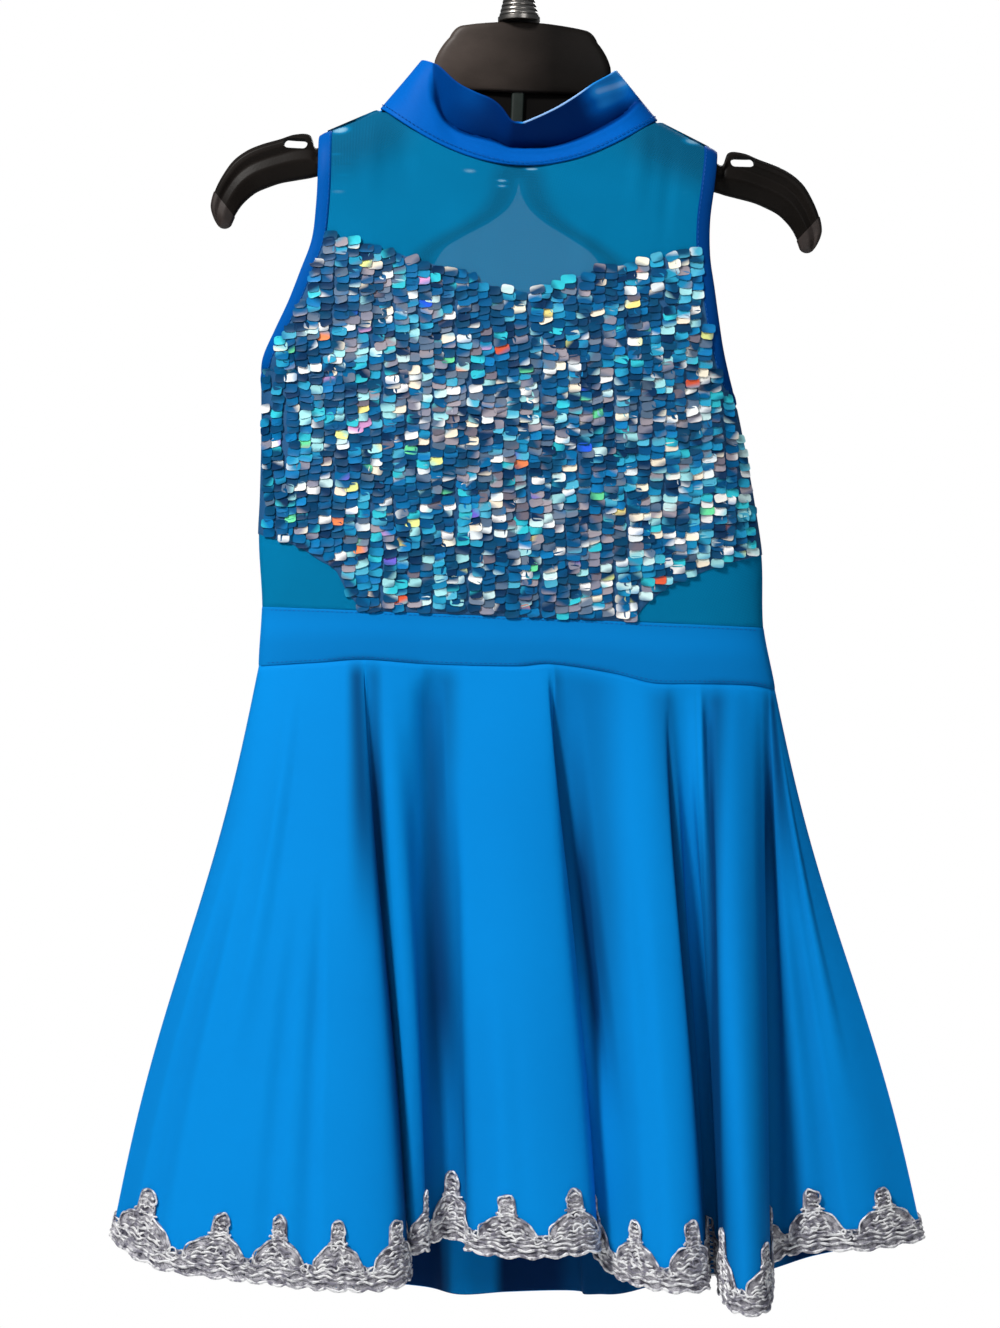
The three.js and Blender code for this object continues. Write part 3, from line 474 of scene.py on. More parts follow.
def tube(path, radius, sides):
    """Points and faces of closed tubes, one along each row of `path`, with rounded ends."""
    count, steps = path.shape[:2]
    radius = np.broadcast_to(radius, (count, steps))
    ahead = unit(np.gradient(path, axis=1))
    side = unit(np.cross(ahead, np.array([0.03, 1.0, 0.02])))
    up = np.cross(ahead, side)
    turn = np.linspace(0, 2 * np.pi, sides, endpoint=False)[:, None]
    ring = np.cos(turn) * side[..., None, :] + np.sin(turn) * up[..., None, :]
    rings = path[:, :, None, :] + radius[:, :, None, None] * ring
    tips = np.stack([
        path[:, 0] - ahead[:, 0] * radius[:, :1] * 0.6,
        path[:, -1] + ahead[:, -1] * radius[:, -1:] * 0.6], 1)
    body = np.concatenate([rings.reshape(count, -1, 3), tips], 1)
    faces = repeated(capped_faces(steps, sides), body.shape[1], count)
    points = body.reshape(-1, 3)
    return points, facing_out(points, faces)


def joined(parts):
    """Several sets of points and faces as one."""
    points, faces, base = [], [], 0
    for p, blocks in parts:
        points.append(p)
        faces.extend(block + base for block in blocks)
        base += len(p)
    return np.concatenate(points), faces


# ---------------------------------------------------------------- materials
def srgb(r, g, b):
    """A colour given as it looks on a screen, 0 to 255, as the shader's linear values."""
    c = np.array([r, g, b]) / 255
    linear = np.where(c <= 0.04045, c / 12.92, ((c + 0.055) / 1.055) ** 2.4)
    return (*linear.tolist(), 1.0)


class Nodes:
    """A tree of nodes under construction, with short ways to add and to join them."""

    def __init__(self, tree):
        self.tree = tree

    def feed(self, socket, value):
        """Gives a socket a plain value, or links it to the socket that the value comes from."""
        if isinstance(value, bpy.types.NodeSocket):
            self.tree.links.new(value, socket)
        else:
            socket.default_value = value

    def put(self, node, **sockets):
        for name, value in sockets.items():
            self.feed(node.inputs[name.replace("_", " ")], value)
        return node

    def node(self, kind, settings=None, **sockets):
        made = self.tree.nodes.new("ShaderNode" + kind)
        for setting, value in (settings or {}).items():
            setattr(made, setting, value)
        return self.put(made, **sockets)

    def between(self, value, low, high, start, end):
        """`start` where a value is at or below `low`, `end` at or above `high`, even between."""
        return self.node("MapRange", Value=value, From_Min=low, From_Max=high, To_Min=start,
                         To_Max=end).outputs[0]

    def math(self, operation, a, b):
        made = self.node("Math", {"operation": operation})
        self.feed(made.inputs[0], a)
        self.feed(made.inputs[1], b)
        return made.outputs[0]


class Finish(Nodes):
    """A material under construction. Patterns are laid out in metres, from the object's origin
    or along the cloth's own map."""

    def __init__(self, name, **sockets):
        self.material = bpy.data.materials.new(name)
        self.material.use_nodes = True
        super().__init__(self.material.node_tree)
        self.shader = self.tree.nodes["Principled BSDF"]
        self.put(self.shader, **sockets)

    def done(self, colour, **sockets):
        """The material, once its colour and whatever else varies over it are given."""
        self.put(self.shader, Base_Color=colour, **sockets)
        return self.material

    def place(self):
        return self.node("TexCoord").outputs["Object"]

    def cloth(self):
        return self.node("UVMap", {"uv_map": "cloth"}).outputs[0]

    def tint(self, output="Fac"):
        return self.node("Attribute", {"attribute_name": "tint"}).outputs[output]

    def scaled(self, vector, scale):
        return self.node("Mapping", Vector=vector, Scale=scale).outputs[0]

    def noise(self, at, scale, **sockets):
        return self.node("TexNoise", Vector=at, Scale=scale, **sockets).outputs["Fac"]

    def wave(self, at, scale, distortion=0.0, direction="X"):
        return self.node("TexWave", {"bands_direction": direction}, Vector=at, Scale=scale,
                         Distortion=distortion).outputs["Fac"]

    def cells(self, at, scale, randomness):
        """How far inside a small cell each point is, from 0 at the cell's edge."""
        return self.node("TexVoronoi", {"feature": "DISTANCE_TO_EDGE"}, Vector=at, Scale=scale,
                         Randomness=randomness).outputs["Distance"]

    def mix(self, factor, a, b):
        made = self.node("Mix", {"data_type": "RGBA"})
        for index, value in ((0, factor), (6, a), (7, b)):
            self.feed(made.inputs[index], value)
        return made.outputs[2]

    def bumps(self, height, distance, strength):
        return self.node("Bump", Height=height, Distance=distance, Strength=strength).outputs[0]


def knit(finish, pitch, depth):
    """Bumps of a fine knit: crossed waves with `pitch` metres from one stitch to the next."""
    uv = finish.cloth()
    rib, course = finish.wave(uv, 0.32 / pitch), finish.wave(uv, 0.42 / pitch, direction="Y")
    return finish.bumps(finish.math("MULTIPLY", rib, course), depth, 0.5)


def spandex():
    """Matt stretch knit, a clear blue with a soft sheen and faint cloudy variation. Its tint is
    painted shade, dark blue, deepest where the cloth lies in a fold."""
    f = Finish("blue_stretch_knit", Roughness=0.75, Specular_IOR_Level=0.06,
               Sheen_Weight=0.04, Sheen_Tint=srgb(60, 160, 255))
    clouds = f.noise(f.place(), 9.0, Detail=3.0)
    colour = f.mix(clouds, srgb(0, 132, 214), srgb(0, 142, 226))
    return f.done(f.mix(f.tint(), colour, srgb(0, 40, 88)), Normal=knit(f, 0.0006, 0.00012))


def satin(name, colour, deep):
    """Smooth royal blue satin knit with a fine crosswise grain. Its tint paints shade where it is
    above 0 and light where it is below 0; below -0.5 it paints a pale highlight."""
    f = Finish(name, Roughness=0.5, Specular_IOR_Level=0.03, Sheen_Weight=0.01,
               Sheen_Tint=srgb(30, 130, 255))
    grain = f.noise(f.scaled(f.cloth(), (300, 1800, 1)), 1.0)
    # the tint: painted shade above 0, painted light below 0
    fold = f.tint()
    base = f.mix(fold, f.mix(grain, deep, colour), srgb(0, 26, 86))
    base = f.mix(f.math("MULTIPLY", fold, -1.0), base, srgb(50, 168, 250))
    base = f.mix(f.math("MULTIPLY", f.math("ADD", fold, 0.5), -2.0), base, srgb(168, 190, 226))
    return f.done(base, Normal=f.bumps(grain, 0.0001, 0.4))


def stretch_mesh():
    """Fine see-through net: a teal yarn with small holes, seen as an even film from afar. Its
    tint paints it darker where another layer lies close behind it, and a pale painted highlight
    on a pucker."""
    f = Finish("teal_stretch_mesh", Roughness=0.75, Specular_IOR_Level=0.04)
    net = f.cells(f.cloth(), 1100.0, 0.15)
    behind = f.tint()
    colour = f.mix(f.noise(f.place(), 14.0), srgb(0, 112, 160), srgb(0, 128, 180))
    colour = f.mix(behind, colour, srgb(10, 74, 104))
    colour = f.mix(f.math("MULTIPLY", behind, -1.0), colour, srgb(150, 196, 220))
    return f.done(colour, Alpha=f.between(net, 0.12, 0.3, 0.93, 0.7),
                  Normal=f.bumps(net, 0.0002, 0.4))


def sequin_finish():
    """Holographic film: each sequin keeps its own tint, the film's hue with painted reflection in
    it, over a hard clear gloss.
    """
    f = Finish("holographic_sequins", Roughness=0.45, Specular_IOR_Level=0.1, Coat_Weight=0.04,
               Coat_Roughness=0.2)
    return f.done(f.tint("Color"))


def sequin_ground():
    """The dark blue knit under the sequins."""
    f = Finish("sequin_ground_knit", Roughness=0.7)
    colour = f.mix(f.noise(f.place(), 60.0), srgb(0, 70, 116), srgb(0, 86, 140))
    return f.done(colour, Normal=knit(f, 0.0008, 0.0002))


def silver_lace():
    """Metallic white and silver thread, bright and dull by turns."""
    f = Finish("silver_lace_thread", Metallic=0.15, Roughness=0.4)
    pick = f.between(f.noise(f.place(), 260.0), 0.4, 0.58, 0, 1)
    return f.done(f.mix(pick, srgb(136, 134, 148), srgb(250, 250, 252)),
                  Normal=f.bumps(f.wave(f.place(), 900.0, 2.0), 0.0002, 0.5))


def lace_open(name, size, solid, clear, dull, bright):
    """Open lace: thread between holes `size` to a metre, covering from `solid` down to `clear`."""
    f = Finish(name, Metallic=0.1, Roughness=0.5)
    cells = f.cells(f.scaled(f.cloth(), (1, 1.9, 1)), size, 0.8)
    pick = f.between(f.noise(f.place(), 190.0), 0.35, 0.62, 0, 1)
    return f.done(f.mix(pick, dull, bright), Alpha=f.between(cells, 0.1, 0.2, solid, clear),
                  Normal=f.bumps(cells, 0.0004, 0.6))


def black_plastic(name, painted_left_light, shine):
    """Moulded black plastic, a little brown, with a pebbled skin and dusty clouds. A painted light
    in grey brown, mottled by the clouds, grows to the left, as strong as the second argument."""
    f = Finish(name, Specular_IOR_Level=shine)
    place = f.place()
    dust = f.noise(f.scaled(place, (20, 20, 34)), 1.0, Detail=5.0)
    left = f.between(f.node("SeparateXYZ", Vector=place).outputs["X"], -0.052, 0.02, painted_left_light, 0.02)
    # painted light, grey brown, towards the left, mottled by the dust's clouds
    dust_and_left_light = f.math("MULTIPLY", left, f.math("MULTIPLY", dust, 2.0))
    colour = f.mix(dust_and_left_light, f.mix(dust, srgb(7, 6, 5), srgb(20, 17, 15)), srgb(104, 92, 86))
    return f.done(colour, Roughness=f.between(dust, 0, 1, 0.3, 0.5),
                  Normal=f.bumps(f.noise(place, 900.0), 0.00008, 0.5))


def thread_twist():
    """Polyester sewing thread dyed to the cloth, with its twist."""
    f = Finish("blue_sewing_thread", Roughness=0.5, Specular_IOR_Level=0.2)
    twist = f.wave(f.place(), 1400.0, 0.5, "DIAGONAL")
    return f.done(f.mix(twist, srgb(0, 66, 140), srgb(8, 104, 192)),
                  Normal=f.bumps(twist, 0.0001, 0.5))


def hook_metal():
    """Plated steel, brushed round its axis and a little tarnished in the turned grooves."""
    f = Finish("plated_steel", Metallic=1.0)
    place = f.place()
    rings = f.noise(f.scaled(place, (40, 40, 2400)), 1.0)
    smudge = f.noise(place, 120.0, Detail=3.0)
    return f.done(f.mix(smudge, srgb(104, 100, 96), srgb(164, 160, 156)),
                  Roughness=f.between(rings, 0, 1, 0.2, 0.42),
                  Normal=f.bumps(rings, 0.00006, 0.4))


def clouded(name, scale, dark, light, swirl=0.0, grain=0.0, **sockets):
    """A plain finish that clouds from one colour to another, swirled, or pebbled `grain` deep."""
    f = Finish(name, **sockets)
    clouds = f.noise(f.place(), scale, Distortion=swirl)
    if grain:
        f.put(f.shader, Normal=f.bumps(clouds, grain, 0.4))
    return f.done(f.mix(clouds, dark, light))


FINISH = {
    "spandex": spandex(),
    "satin": satin("royal_satin_knit", srgb(0, 98, 192), srgb(0, 86, 174)),
    "binding": satin("binding_satin_knit", srgb(0, 88, 172), srgb(0, 76, 154)),
    # A darker copy of the satin for the keyhole's binding: painted shade.
    "deep": satin("keyhole_satin_knit", srgb(0, 70, 150), srgb(0, 56, 124)),
    "mesh": stretch_mesh(),
    "sequins": sequin_finish(),
    "ground": sequin_ground(),
    "lace": silver_lace(),
    "net": lace_open("silver_lace_net", 480, 0.6, 0.1, srgb(112, 116, 132), srgb(196, 198, 208)),
    "filling": lace_open("silver_lace_filling", 300, 0.92, 0.3, srgb(78, 76, 90),
                         srgb(204, 202, 210)),
    "thread": thread_twist(),
    "button": clouded("blue_button_plastic", 220, srgb(0, 74, 170), srgb(16, 100, 206),
                      swirl=1.5, Roughness=0.2, Coat_Weight=0.4),
    # The head takes a strong painted light on its left, the arms a faint one.
    "plastic": black_plastic("black_moulded_plastic", 0.04, 0.07),
    "head": black_plastic("black_plastic_with_painted_light", 0.5, 0.1),
    # A darker, duller copy of the black plastic for the plate: painted shade in its recess.
    "recess": clouded("recess_black_plastic", 80, srgb(5, 4, 4), srgb(14, 12, 11),
                      Roughness=0.8, Specular_IOR_Level=0.08),
    "strut": clouded("strut_plastic", 150, srgb(12, 20, 17), srgb(26, 38, 33),
                     Roughness=0.5, Specular_IOR_Level=0.3),
    "tip": clouded("tip_rubber", 300, srgb(30, 24, 22), srgb(50, 38, 34), grain=0.0001,
                   Roughness=0.55),
    "metal": hook_metal(),
    "floor": clouded("pale_floor", 40, srgb(238, 238, 236), srgb(246, 246, 244), Roughness=0.9),
}


def finished(piece, slot, *nodes):
    """Rides a piece on the costume's one body, and hides the imported nodes that it stands for."""
    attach(piece, "root")
    if nodes:
        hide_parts(*nodes)
    return piece


def front_back(side):
    return np.array([0, side, 0])


# ---------------------------------------------------------------- camera, light and floor
CAMERA_PLACE = (-0.011, -1.8, -0.4479)
CAMERA_LENS, CAMERA_SENSOR = 84.13, 36
FLOOR_LEVEL = -1.6
FLOOR_RINGS = (0.02, 1.0, 2.2)
# Each light: its place, where it points, its width, power and colour.
LIGHTS = {
    "key": ((-1.25, -1.35, 1.3), (0, 0, -0.45), 0.45, 72, (1, 0.985, 0.96)),
    "side": ((0.9, -1.9, 0.4), (0.05, 0, -0.4), 0.9, 6, (1, 1, 1)),
    "low": ((-0.3, -2.0, -1.3), (0, 0, -0.45), 1.0, 3, (1, 1, 1)),
    "behind": ((0.3, 1.8, 0.9), (0, 0, -0.4), 1.2, 26, (1, 1, 1)),
}


def build_camera():
    camera = bpy.data.objects.new("camera", bpy.data.cameras.new("camera"))
    bpy.context.collection.objects.link(camera)
    camera.location = CAMERA_PLACE
    camera.rotation_euler = (math.pi / 2, 0, 0)
    camera.data.lens = CAMERA_LENS
    camera.data.sensor_width = CAMERA_SENSOR
    bpy.context.scene.camera = camera


def build_floor():
    """A round pale floor, well below the hem."""
    turn = np.linspace(0, 2 * np.pi, 96, endpoint=False)
    rings = np.array(FLOOR_RINGS)[:, None]
    points = np.stack(np.broadcast_arrays(
        rings * np.cos(turn), rings * np.sin(turn), FLOOR_LEVEL), -1)
    placed = points.reshape(-1, 3) / MM + np.array([0, 0, HOOK_RISE])
    faces = grid_faces(len(rings), len(turn), wrap_columns=True)[:, ::-1]
    centre = np.arange(len(turn))[None, :]
    make("floor", placed, [faces, centre], FINISH["floor"])


def build_world():
    """A studio whose walls are white where they are seen, and light the costume a faint blue,
    more from above than from below."""
    world = bpy.data.worlds.new("studio")
    bpy.context.scene.world = world
    world.use_nodes = True
    studio = Nodes(world.node_tree)
    way = studio.node("SeparateXYZ", Vector=studio.node("TexCoord").outputs["Generated"])
    glow = studio.between(way.outputs["Z"], -0.4, 0.8, 0.01, 0.26)
    dim = studio.node("Background", Color=(0.88, 0.94, 1, 1), Strength=glow)
    seen = studio.put(studio.tree.nodes["Background"], Color=(1, 1, 1, 1), Strength=1.0)
    direct = studio.node("LightPath").outputs["Is Camera Ray"]
    either = studio.node("MixShader")
    for socket, value in zip(either.inputs, (direct, dim.outputs[0], seen.outputs[0])):
        studio.feed(socket, value)
    studio.feed(studio.tree.nodes["World Output"].inputs[0], either.outputs[0])


def build_lights():
    for name, (place, aim, size, power, colour) in LIGHTS.items():
        light = bpy.data.objects.new(name, bpy.data.lights.new(name, "AREA"))
        bpy.context.collection.objects.link(light)
        light.location = place
        light.rotation_euler = (Vector(aim) - Vector(place)).to_track_quat("-Z", "Y").to_euler()
        light.data.shape = "DISK"
        light.data.size = size
        light.data.energy = power
        light.data.color = colour
    bpy.context.scene.view_settings.view_transform = "Standard"


# ---------------------------------------------------------------- hanger
# Arm of the hanger, from the head to the tip: x and height of its upper edge, x and height of
# its lower edge, half depth at the middle.
ARM_SECTIONS = [
    (34, -40, 30, -66, 5.5), (62, -50, 57, -73, 6), (90, -62.9, 86, -85, 6.5),
    (108, -71.7, 104, -91.5, 6.5), (117.5, -78, 115, -93.5, 6.5), (121.3, -70.5, 120.5, -95, 6.5),
    (130, -70.5, 128, -96.6, 6.5), (139, -73.7, 137, -98.6, 6.5), (149, -77, 144, -101.2, 6.5),
    (157.5, -81, 151, -104.5, 6.4), (165, -87, 156, -108.6, 6.2), (170.5, -95, 160, -113.2, 5.9),
    (174.8, -104, 163, -118.4, 5.5), (177, -113, 165, -123.4, 4.8), (176.4, -122.5, 167, -129, 3.8),
]
# Corners of an arm's section: share from its upper edge to its lower, share of the half depth.
ARM_HALF = [(0, 0.4), (0.1, 0.86), (0.22, 0.9), (0.36, 0.66), (0.62, 1), (1, 0.5)]
ARM_CORNERS = np.array(ARM_HALF + [(share, -width) for share, width in ARM_HALF[::-1]])
TIP_START, TIP_ROUND = 0.87, 0.93  # where the tip's cap, and its round end, begin along the arm
TIP_SWELL = 1.05
NOTCH = (122.5, 136.5, -78.8, -73.2)    # inner and outer x, floor and roof
PIVOT = (NOTCH[2] + NOTCH[3]) / 2


def hung(points):
    """The hanger's own lean, a turn about the notches' height."""
    x, y, z = np.moveaxis(points, -1, 0)
    z = z - PIVOT
    c, s = math.cos(TILT), math.sin(TILT)
    return np.stack([x * c + z * s, y, PIVOT - x * s + z * c], -1)


def softened(loop, share, times):
    """A closed loop of points with its corners cut, and cut again, so that they round off."""
    for _ in range(times):
        ahead = np.roll(loop, -1, axis=-2)
        pair = np.stack([lerp(loop, ahead, share), lerp(loop, ahead, 1 - share)], -2)
        loop = pair.reshape(*loop.shape[:-2], -1, 3)
    return loop


def loft(name, sections, material, sharp=35):
    """A closed body through a row of closed loops, with flat ends."""
    rows, columns = sections.shape[:2]
    ends = np.arange(columns)[None, :]
    faces = [grid_faces(rows, columns, wrap_columns=True),
             ends[:, ::-1], ends + (rows - 1) * columns]
    points = sections.reshape(-1, 3)
    return make(name, points, facing_out(points, faces), material, sharp=sharp)


def arm_sections(sign, stops, swell=1.0):
    """Loops across an arm at stops from 0, at the head, to 1, at the tip."""
    x0, z0, x1, z1, half = (through(ARM_SECTIONS, stops, k)[:, None] for k in range(5))
    middle_x, middle_z = (x0 + x1) / 2, (z0 + z1) / 2
    share, width = ARM_CORNERS.T
    swell = np.reshape(swell, (-1, 1))
    loops = np.stack(np.broadcast_arrays(
        sign * (middle_x + swell * (lerp(x0, x1, share) - middle_x)),
        swell * half * width,
        middle_z + swell * (lerp(z0, z1, share) - middle_z)), -1)
    return hung(softened(loops, 0.12, 2))


def notch_cutter(sign):
    """A bar with half round ends, through the arm along Y."""
    inner, outer, floor, roof = NOTCH
    radius = (roof - floor) / 2
    turn = np.linspace(-np.pi / 2, np.pi / 2, 13)
    right = np.stack([outer - radius + radius * np.cos(turn), radius * np.sin(turn)], -1)
    left = np.stack([inner + radius - radius * np.cos(turn), -radius * np.sin(turn)], -1)
    loop = np.concatenate([right, left])
    rows = np.array([-14.0, 14.0])[:, None]
    return hung(np.stack(np.broadcast_arrays(
        sign * loop[:, 0], rows, loop[:, 1] + (floor + roof) / 2), -1))


def cut(piece, cutter):
    """Takes the cutter away from the piece, and removes the cutter."""
    modifier = piece.modifiers.new("notch", "BOOLEAN")
    modifier.object = cutter
    modifier.solver = "EXACT"
    solved = piece.evaluated_get(bpy.context.evaluated_depsgraph_get())
    mesh = bpy.data.meshes.new_from_object(solved)
    piece.modifiers.clear()
    piece.data = mesh
    bpy.data.objects.remove(cutter)
    mesh.set_sharp_from_angle(angle=math.radians(35))


def build_arm(hand, sign):
    """An arm with its strap notch cut through, and the dull cap, rounded off, over its tip."""
    arm = loft(f"hanger_arm_{hand}", arm_sections(sign, np.linspace(0, TIP_START + 0.02, 90)),
               FINISH["plastic"])
    cut(arm, loft(f"notch_{hand}", notch_cutter(sign), FINISH["plastic"]))
    stops = lerp(TIP_START, 1, np.sin(np.linspace(0, np.pi / 2, 30)))
    rounding = np.sqrt(1 - np.clip((stops - TIP_ROUND) / (1 - TIP_ROUND), 0, 0.98) ** 2)
    tip = loft(f"hanger_tip_{hand}", arm_sections(sign, stops, TIP_SWELL * rounding),
               FINISH["tip"])
    return [arm, tip]


HEAD_TOP_HALF, HEAD_HALF, HEAD_FOOT, HEAD_ROUND = 36.0, 51.0, -41.3, 7.0
HEAD_SHOULDER, HEAD_CROWN, HEAD_FLARE, HEAD_DEPTH = -24.0, -3.2, 3.0, 14.0
HEAD_MIDDLE = -20.0


def quadratic(a, b, c, count):
    t = np.linspace(0, 1, count)[:, None]
    return (1 - t) ** 2 * np.array(a) + 2 * t * (1 - t) * np.array(b) + t**2 * np.array(c)


def head_outline():
    """The head from the front: a crowned top, round top corners and sides that flare down."""
    corner = HEAD_TOP_HALF + HEAD_ROUND
    # Each curve from where the last one ends: its control point, its end, its number of points.
    curves = [
        ((HEAD_TOP_HALF * 0.55, -0.4), (HEAD_TOP_HALF, HEAD_CROWN), 24),
        ((corner - HEAD_ROUND / 3, HEAD_CROWN - 1.2), (corner, HEAD_CROWN - HEAD_ROUND), 9),
        ((HEAD_HALF - 2.4, HEAD_SHOULDER + 8), (HEAD_HALF, HEAD_SHOULDER), 10),
        ((HEAD_HALF + 1.2, -33), (HEAD_HALF + HEAD_FLARE, HEAD_FOOT), 10),
        ((HEAD_HALF / 2, HEAD_FOOT), (0, HEAD_FOOT), 16),
    ]
    half = [np.zeros(2)]
    for control, end, count in curves:
        half.extend(quadratic(half[-1], control, end, count)[1:])
    half = np.array(half)
    return np.concatenate([half, half[-2:0:-1] * np.array([-1, 1])])


def build_head():
    """Loops of the head's outline drawn in towards its middle, front and back; the faces bow
    gently outwards and the edge between them is rounded."""
    outline = head_outline()
    middle = np.array([0, HEAD_MIDDLE])
    share = np.concatenate([[0.02], np.linspace(0.12, 0.9, 9), [0.95, 0.98, 0.995, 1.0]])
    set_back = np.array([0.0] * 10 + [0.3, 0.9, 1.8, 3.0])
    halves = []
    for side in (-1, 1):
        loops = middle + (outline - middle) * share[:, None, None]
        x, z = loops[..., 0], loops[..., 1]
        bow = 4.6 * (x / HEAD_HALF) ** 2 + 1.2 * ((z - HEAD_MIDDLE) / HEAD_MIDDLE) ** 2
        y = side * (HEAD_DEPTH / 2 - set_back[:, None] - bow)
        halves.append(np.stack([x, y, z], -1))
    sections = np.concatenate([halves[0], halves[1][::-1]])
    return loft("hanger_head", hung(sections), FINISH["head"], 50)


def build_plate():
    """The recessed plate below the head, whose foot rises a little at its middle."""
    u = np.linspace(-1, 1, 41)[None, :]
    v = np.linspace(0, 1, 12)[:, None]
    z = lerp(-36 + 0 * u, -68 + 3 * (1 - u**2), v)
    plate = hung(np.stack(np.broadcast_arrays(u * lerp(48, 60, v), 0.0, z), -1))
    return shell("hanger_plate", plate, normals_of(plate, front_back(-1)), 3.0,
                 FINISH["recess"], 1.5)


def build_strut():
    """An upright bar through the plate, square with rounded edges."""
    turn = np.linspace(0, 2 * np.pi, 32, endpoint=False)
    circle = np.stack([np.cos(turn), np.sin(turn)], -1)
    rounded = np.sign(circle) * np.abs(circle) ** 0.35
    rows = np.linspace(-38, -64, 8)[:, None]
    strut = np.stack(np.broadcast_arrays(-2 + 3.75 * rounded[:, 0], 4.0 * rounded[:, 1], rows), -1)
    return loft("hanger_strut", hung(strut), FINISH["strut"])


def build_hanger():
    """The shaped hanger: its head, the recessed plate and strut below, two arms and two tips."""
    pieces = [build_head(), build_plate(), build_strut()]
    for hand, sign in SIDES:
        pieces += build_arm(hand, sign)
    for piece in pieces:
        finished(piece, "hanger_plastic")
    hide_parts("hanger_body")


HOOK_WIRE, HOOK_RADIUS = 2.2, 22.0
FERRULE_FOOT, FERRULE_TOP, FERRULE_BASE = 0.4, 16.0, 12.2
FERRULE_BEAD, FERRULE_PITCH = 0.55, 2.6    # how far each turned ring stands out, and their spacing


def build_ferrule():
    """A turned ferrule, whose rings are half-round beads on a taper over a wider foot."""
    z = np.concatenate([[FERRULE_FOOT, FERRULE_FOOT + 0.3], np.linspace(1.4, FERRULE_TOP, 110)])
    taper = lerp(11.4, 8.0, (z - 2) / (FERRULE_TOP - 2))
    beads = FERRULE_BEAD * np.abs(np.sin(np.pi * (z - 3.2) / FERRULE_PITCH)) ** 0.7
    r = np.where(z < 3.0, FERRULE_BASE, taper + beads)
    r = np.where(z > FERRULE_TOP - 1.6, r - (z - FERRULE_TOP + 1.6) ** 2 * 1.2, r)
    r[0] -= 0.5
    turn = np.linspace(0, 2 * np.pi, 64, endpoint=False)
    r, z = r[:, None], z[:, None]
    sections = np.stack(np.broadcast_arrays(r * np.cos(turn), r * np.sin(turn), z), -1)
    finished(loft("ferrule", sections, FINISH["metal"], 50), "hook_metal", "hook_ferrule")


def build_hook():
    """A round wire that rises from the ferrule, turns over the crest and comes down on the
    left."""
    centre = HOOK_RISE + HOOK_WIRE - HOOK_RADIUS
    turns = np.radians([-52, -36, -18, 0, 22, 45, 68, 90, 112, 135, 158, 180, 198, 212])
    stops = [(0, FERRULE_TOP - 0.5), (0, FERRULE_TOP + 6.3)]
    stops += [(HOOK_RADIUS * math.cos(a), centre + HOOK_RADIUS * math.sin(a)) for a in turns]
    at = np.linspace(0, 1, 160)
    path = np.stack([through(stops, at, 0), 0 * at, through(stops, at, 1)], -1)
    points, faces = tube(path[None], HOOK_WIRE, 20)
    finished(make("wire_hook", points, faces, FINISH["metal"]), "hook_metal", "hook")


# ---------------------------------------------------------------- collar
# Top edge of the collar's front: share of its half width, height. It dips to a V a little left
# of the middle of the dip's two flanks.
COLLAR_EDGE = [
    (-1, -25), (-0.84, -29.4), (-0.64, -39.5), (-0.46, -45), (-0.28, -49.2), (-0.185, -53.4),
    (-0.08, -60.9), (0, -61.8), (0.05, -61.6), (0.35, -53.2), (0.55, -45.8), (0.75, -37.1),
    (0.91, -30.9), (1, -26),
]
# Where the front creases, as a share of its height: share of the half width, share of the height.
COLLAR_CREASE_LINE = [
    (-1, 0.5), (-0.71, 0.45), (-0.6, 0.33), (-0.45, 0.28), (-0.18, 0.33), (0.02, 0.37),
    (0.25, 0.29), (0.58, 0.27), (0.83, 0.28), (1, 0.36),
]


def fold_left(v):
    """Where the fold across the collar's front begins, in degrees from the centre front."""
    return lerp(-30.0, -61.0, v)


def collar_point(turn, v):
    """A stand collar round the neck, `turn` radians from the centre front. Below the crease it
    leans in; there it steps inwards, and above it the cloth leans out again to the top edge."""
    turn, v = np.broadcast_arrays(turn, v)
    share = np.sin(turn)
    front = np.cos(turn) > 0
    foot = NECK_HALF * share
    foot_z = np.where(front, neck(NECK_FRONT, foot), neck(NECK_BACK, foot)) + 0.2
    foot_y = np.where(front, body_depth(-1, foot, foot_z), body_depth(1, foot, foot_z))
    head_z = np.where(front, along(COLLAR_EDGE, share),
                      lerp(COLLAR_TOP_BACK, COLLAR_TOP_SIDE, np.abs(share)))
    facing = np.where(front, -1, 1)
    head_y = facing * COLLAR_TOP_DEPTH * np.abs(np.cos(turn)) ** 0.7
    line = along(COLLAR_CREASE_LINE, share)
    degrees = np.degrees(turn)
    dented = ramp(degrees, fold_left(v) - 4, fold_left(v) + 7) * (1 - ramp(degrees, 58, 84))
    inward = (2.0 * ramp(v, 0, line) + 8.5 * ramp(v, line, line + 0.1)
              - 12.5 * np.clip((v - line - 0.06) / (0.94 - line), 0, 1))
    behind = np.where(front, 0, 1.5 * np.sin(np.pi * v) * np.abs(np.cos(turn)))
    y = lerp(foot_y, head_y, v) + inward * dented - behind
    wave = 0.5 * np.sin(9 * turn + 4 * v) * np.sin(np.pi * v)
    return lean(lerp(foot, COLLAR_TOP_HALF * share, v), y + wave, lerp(foot_z, head_z, v))


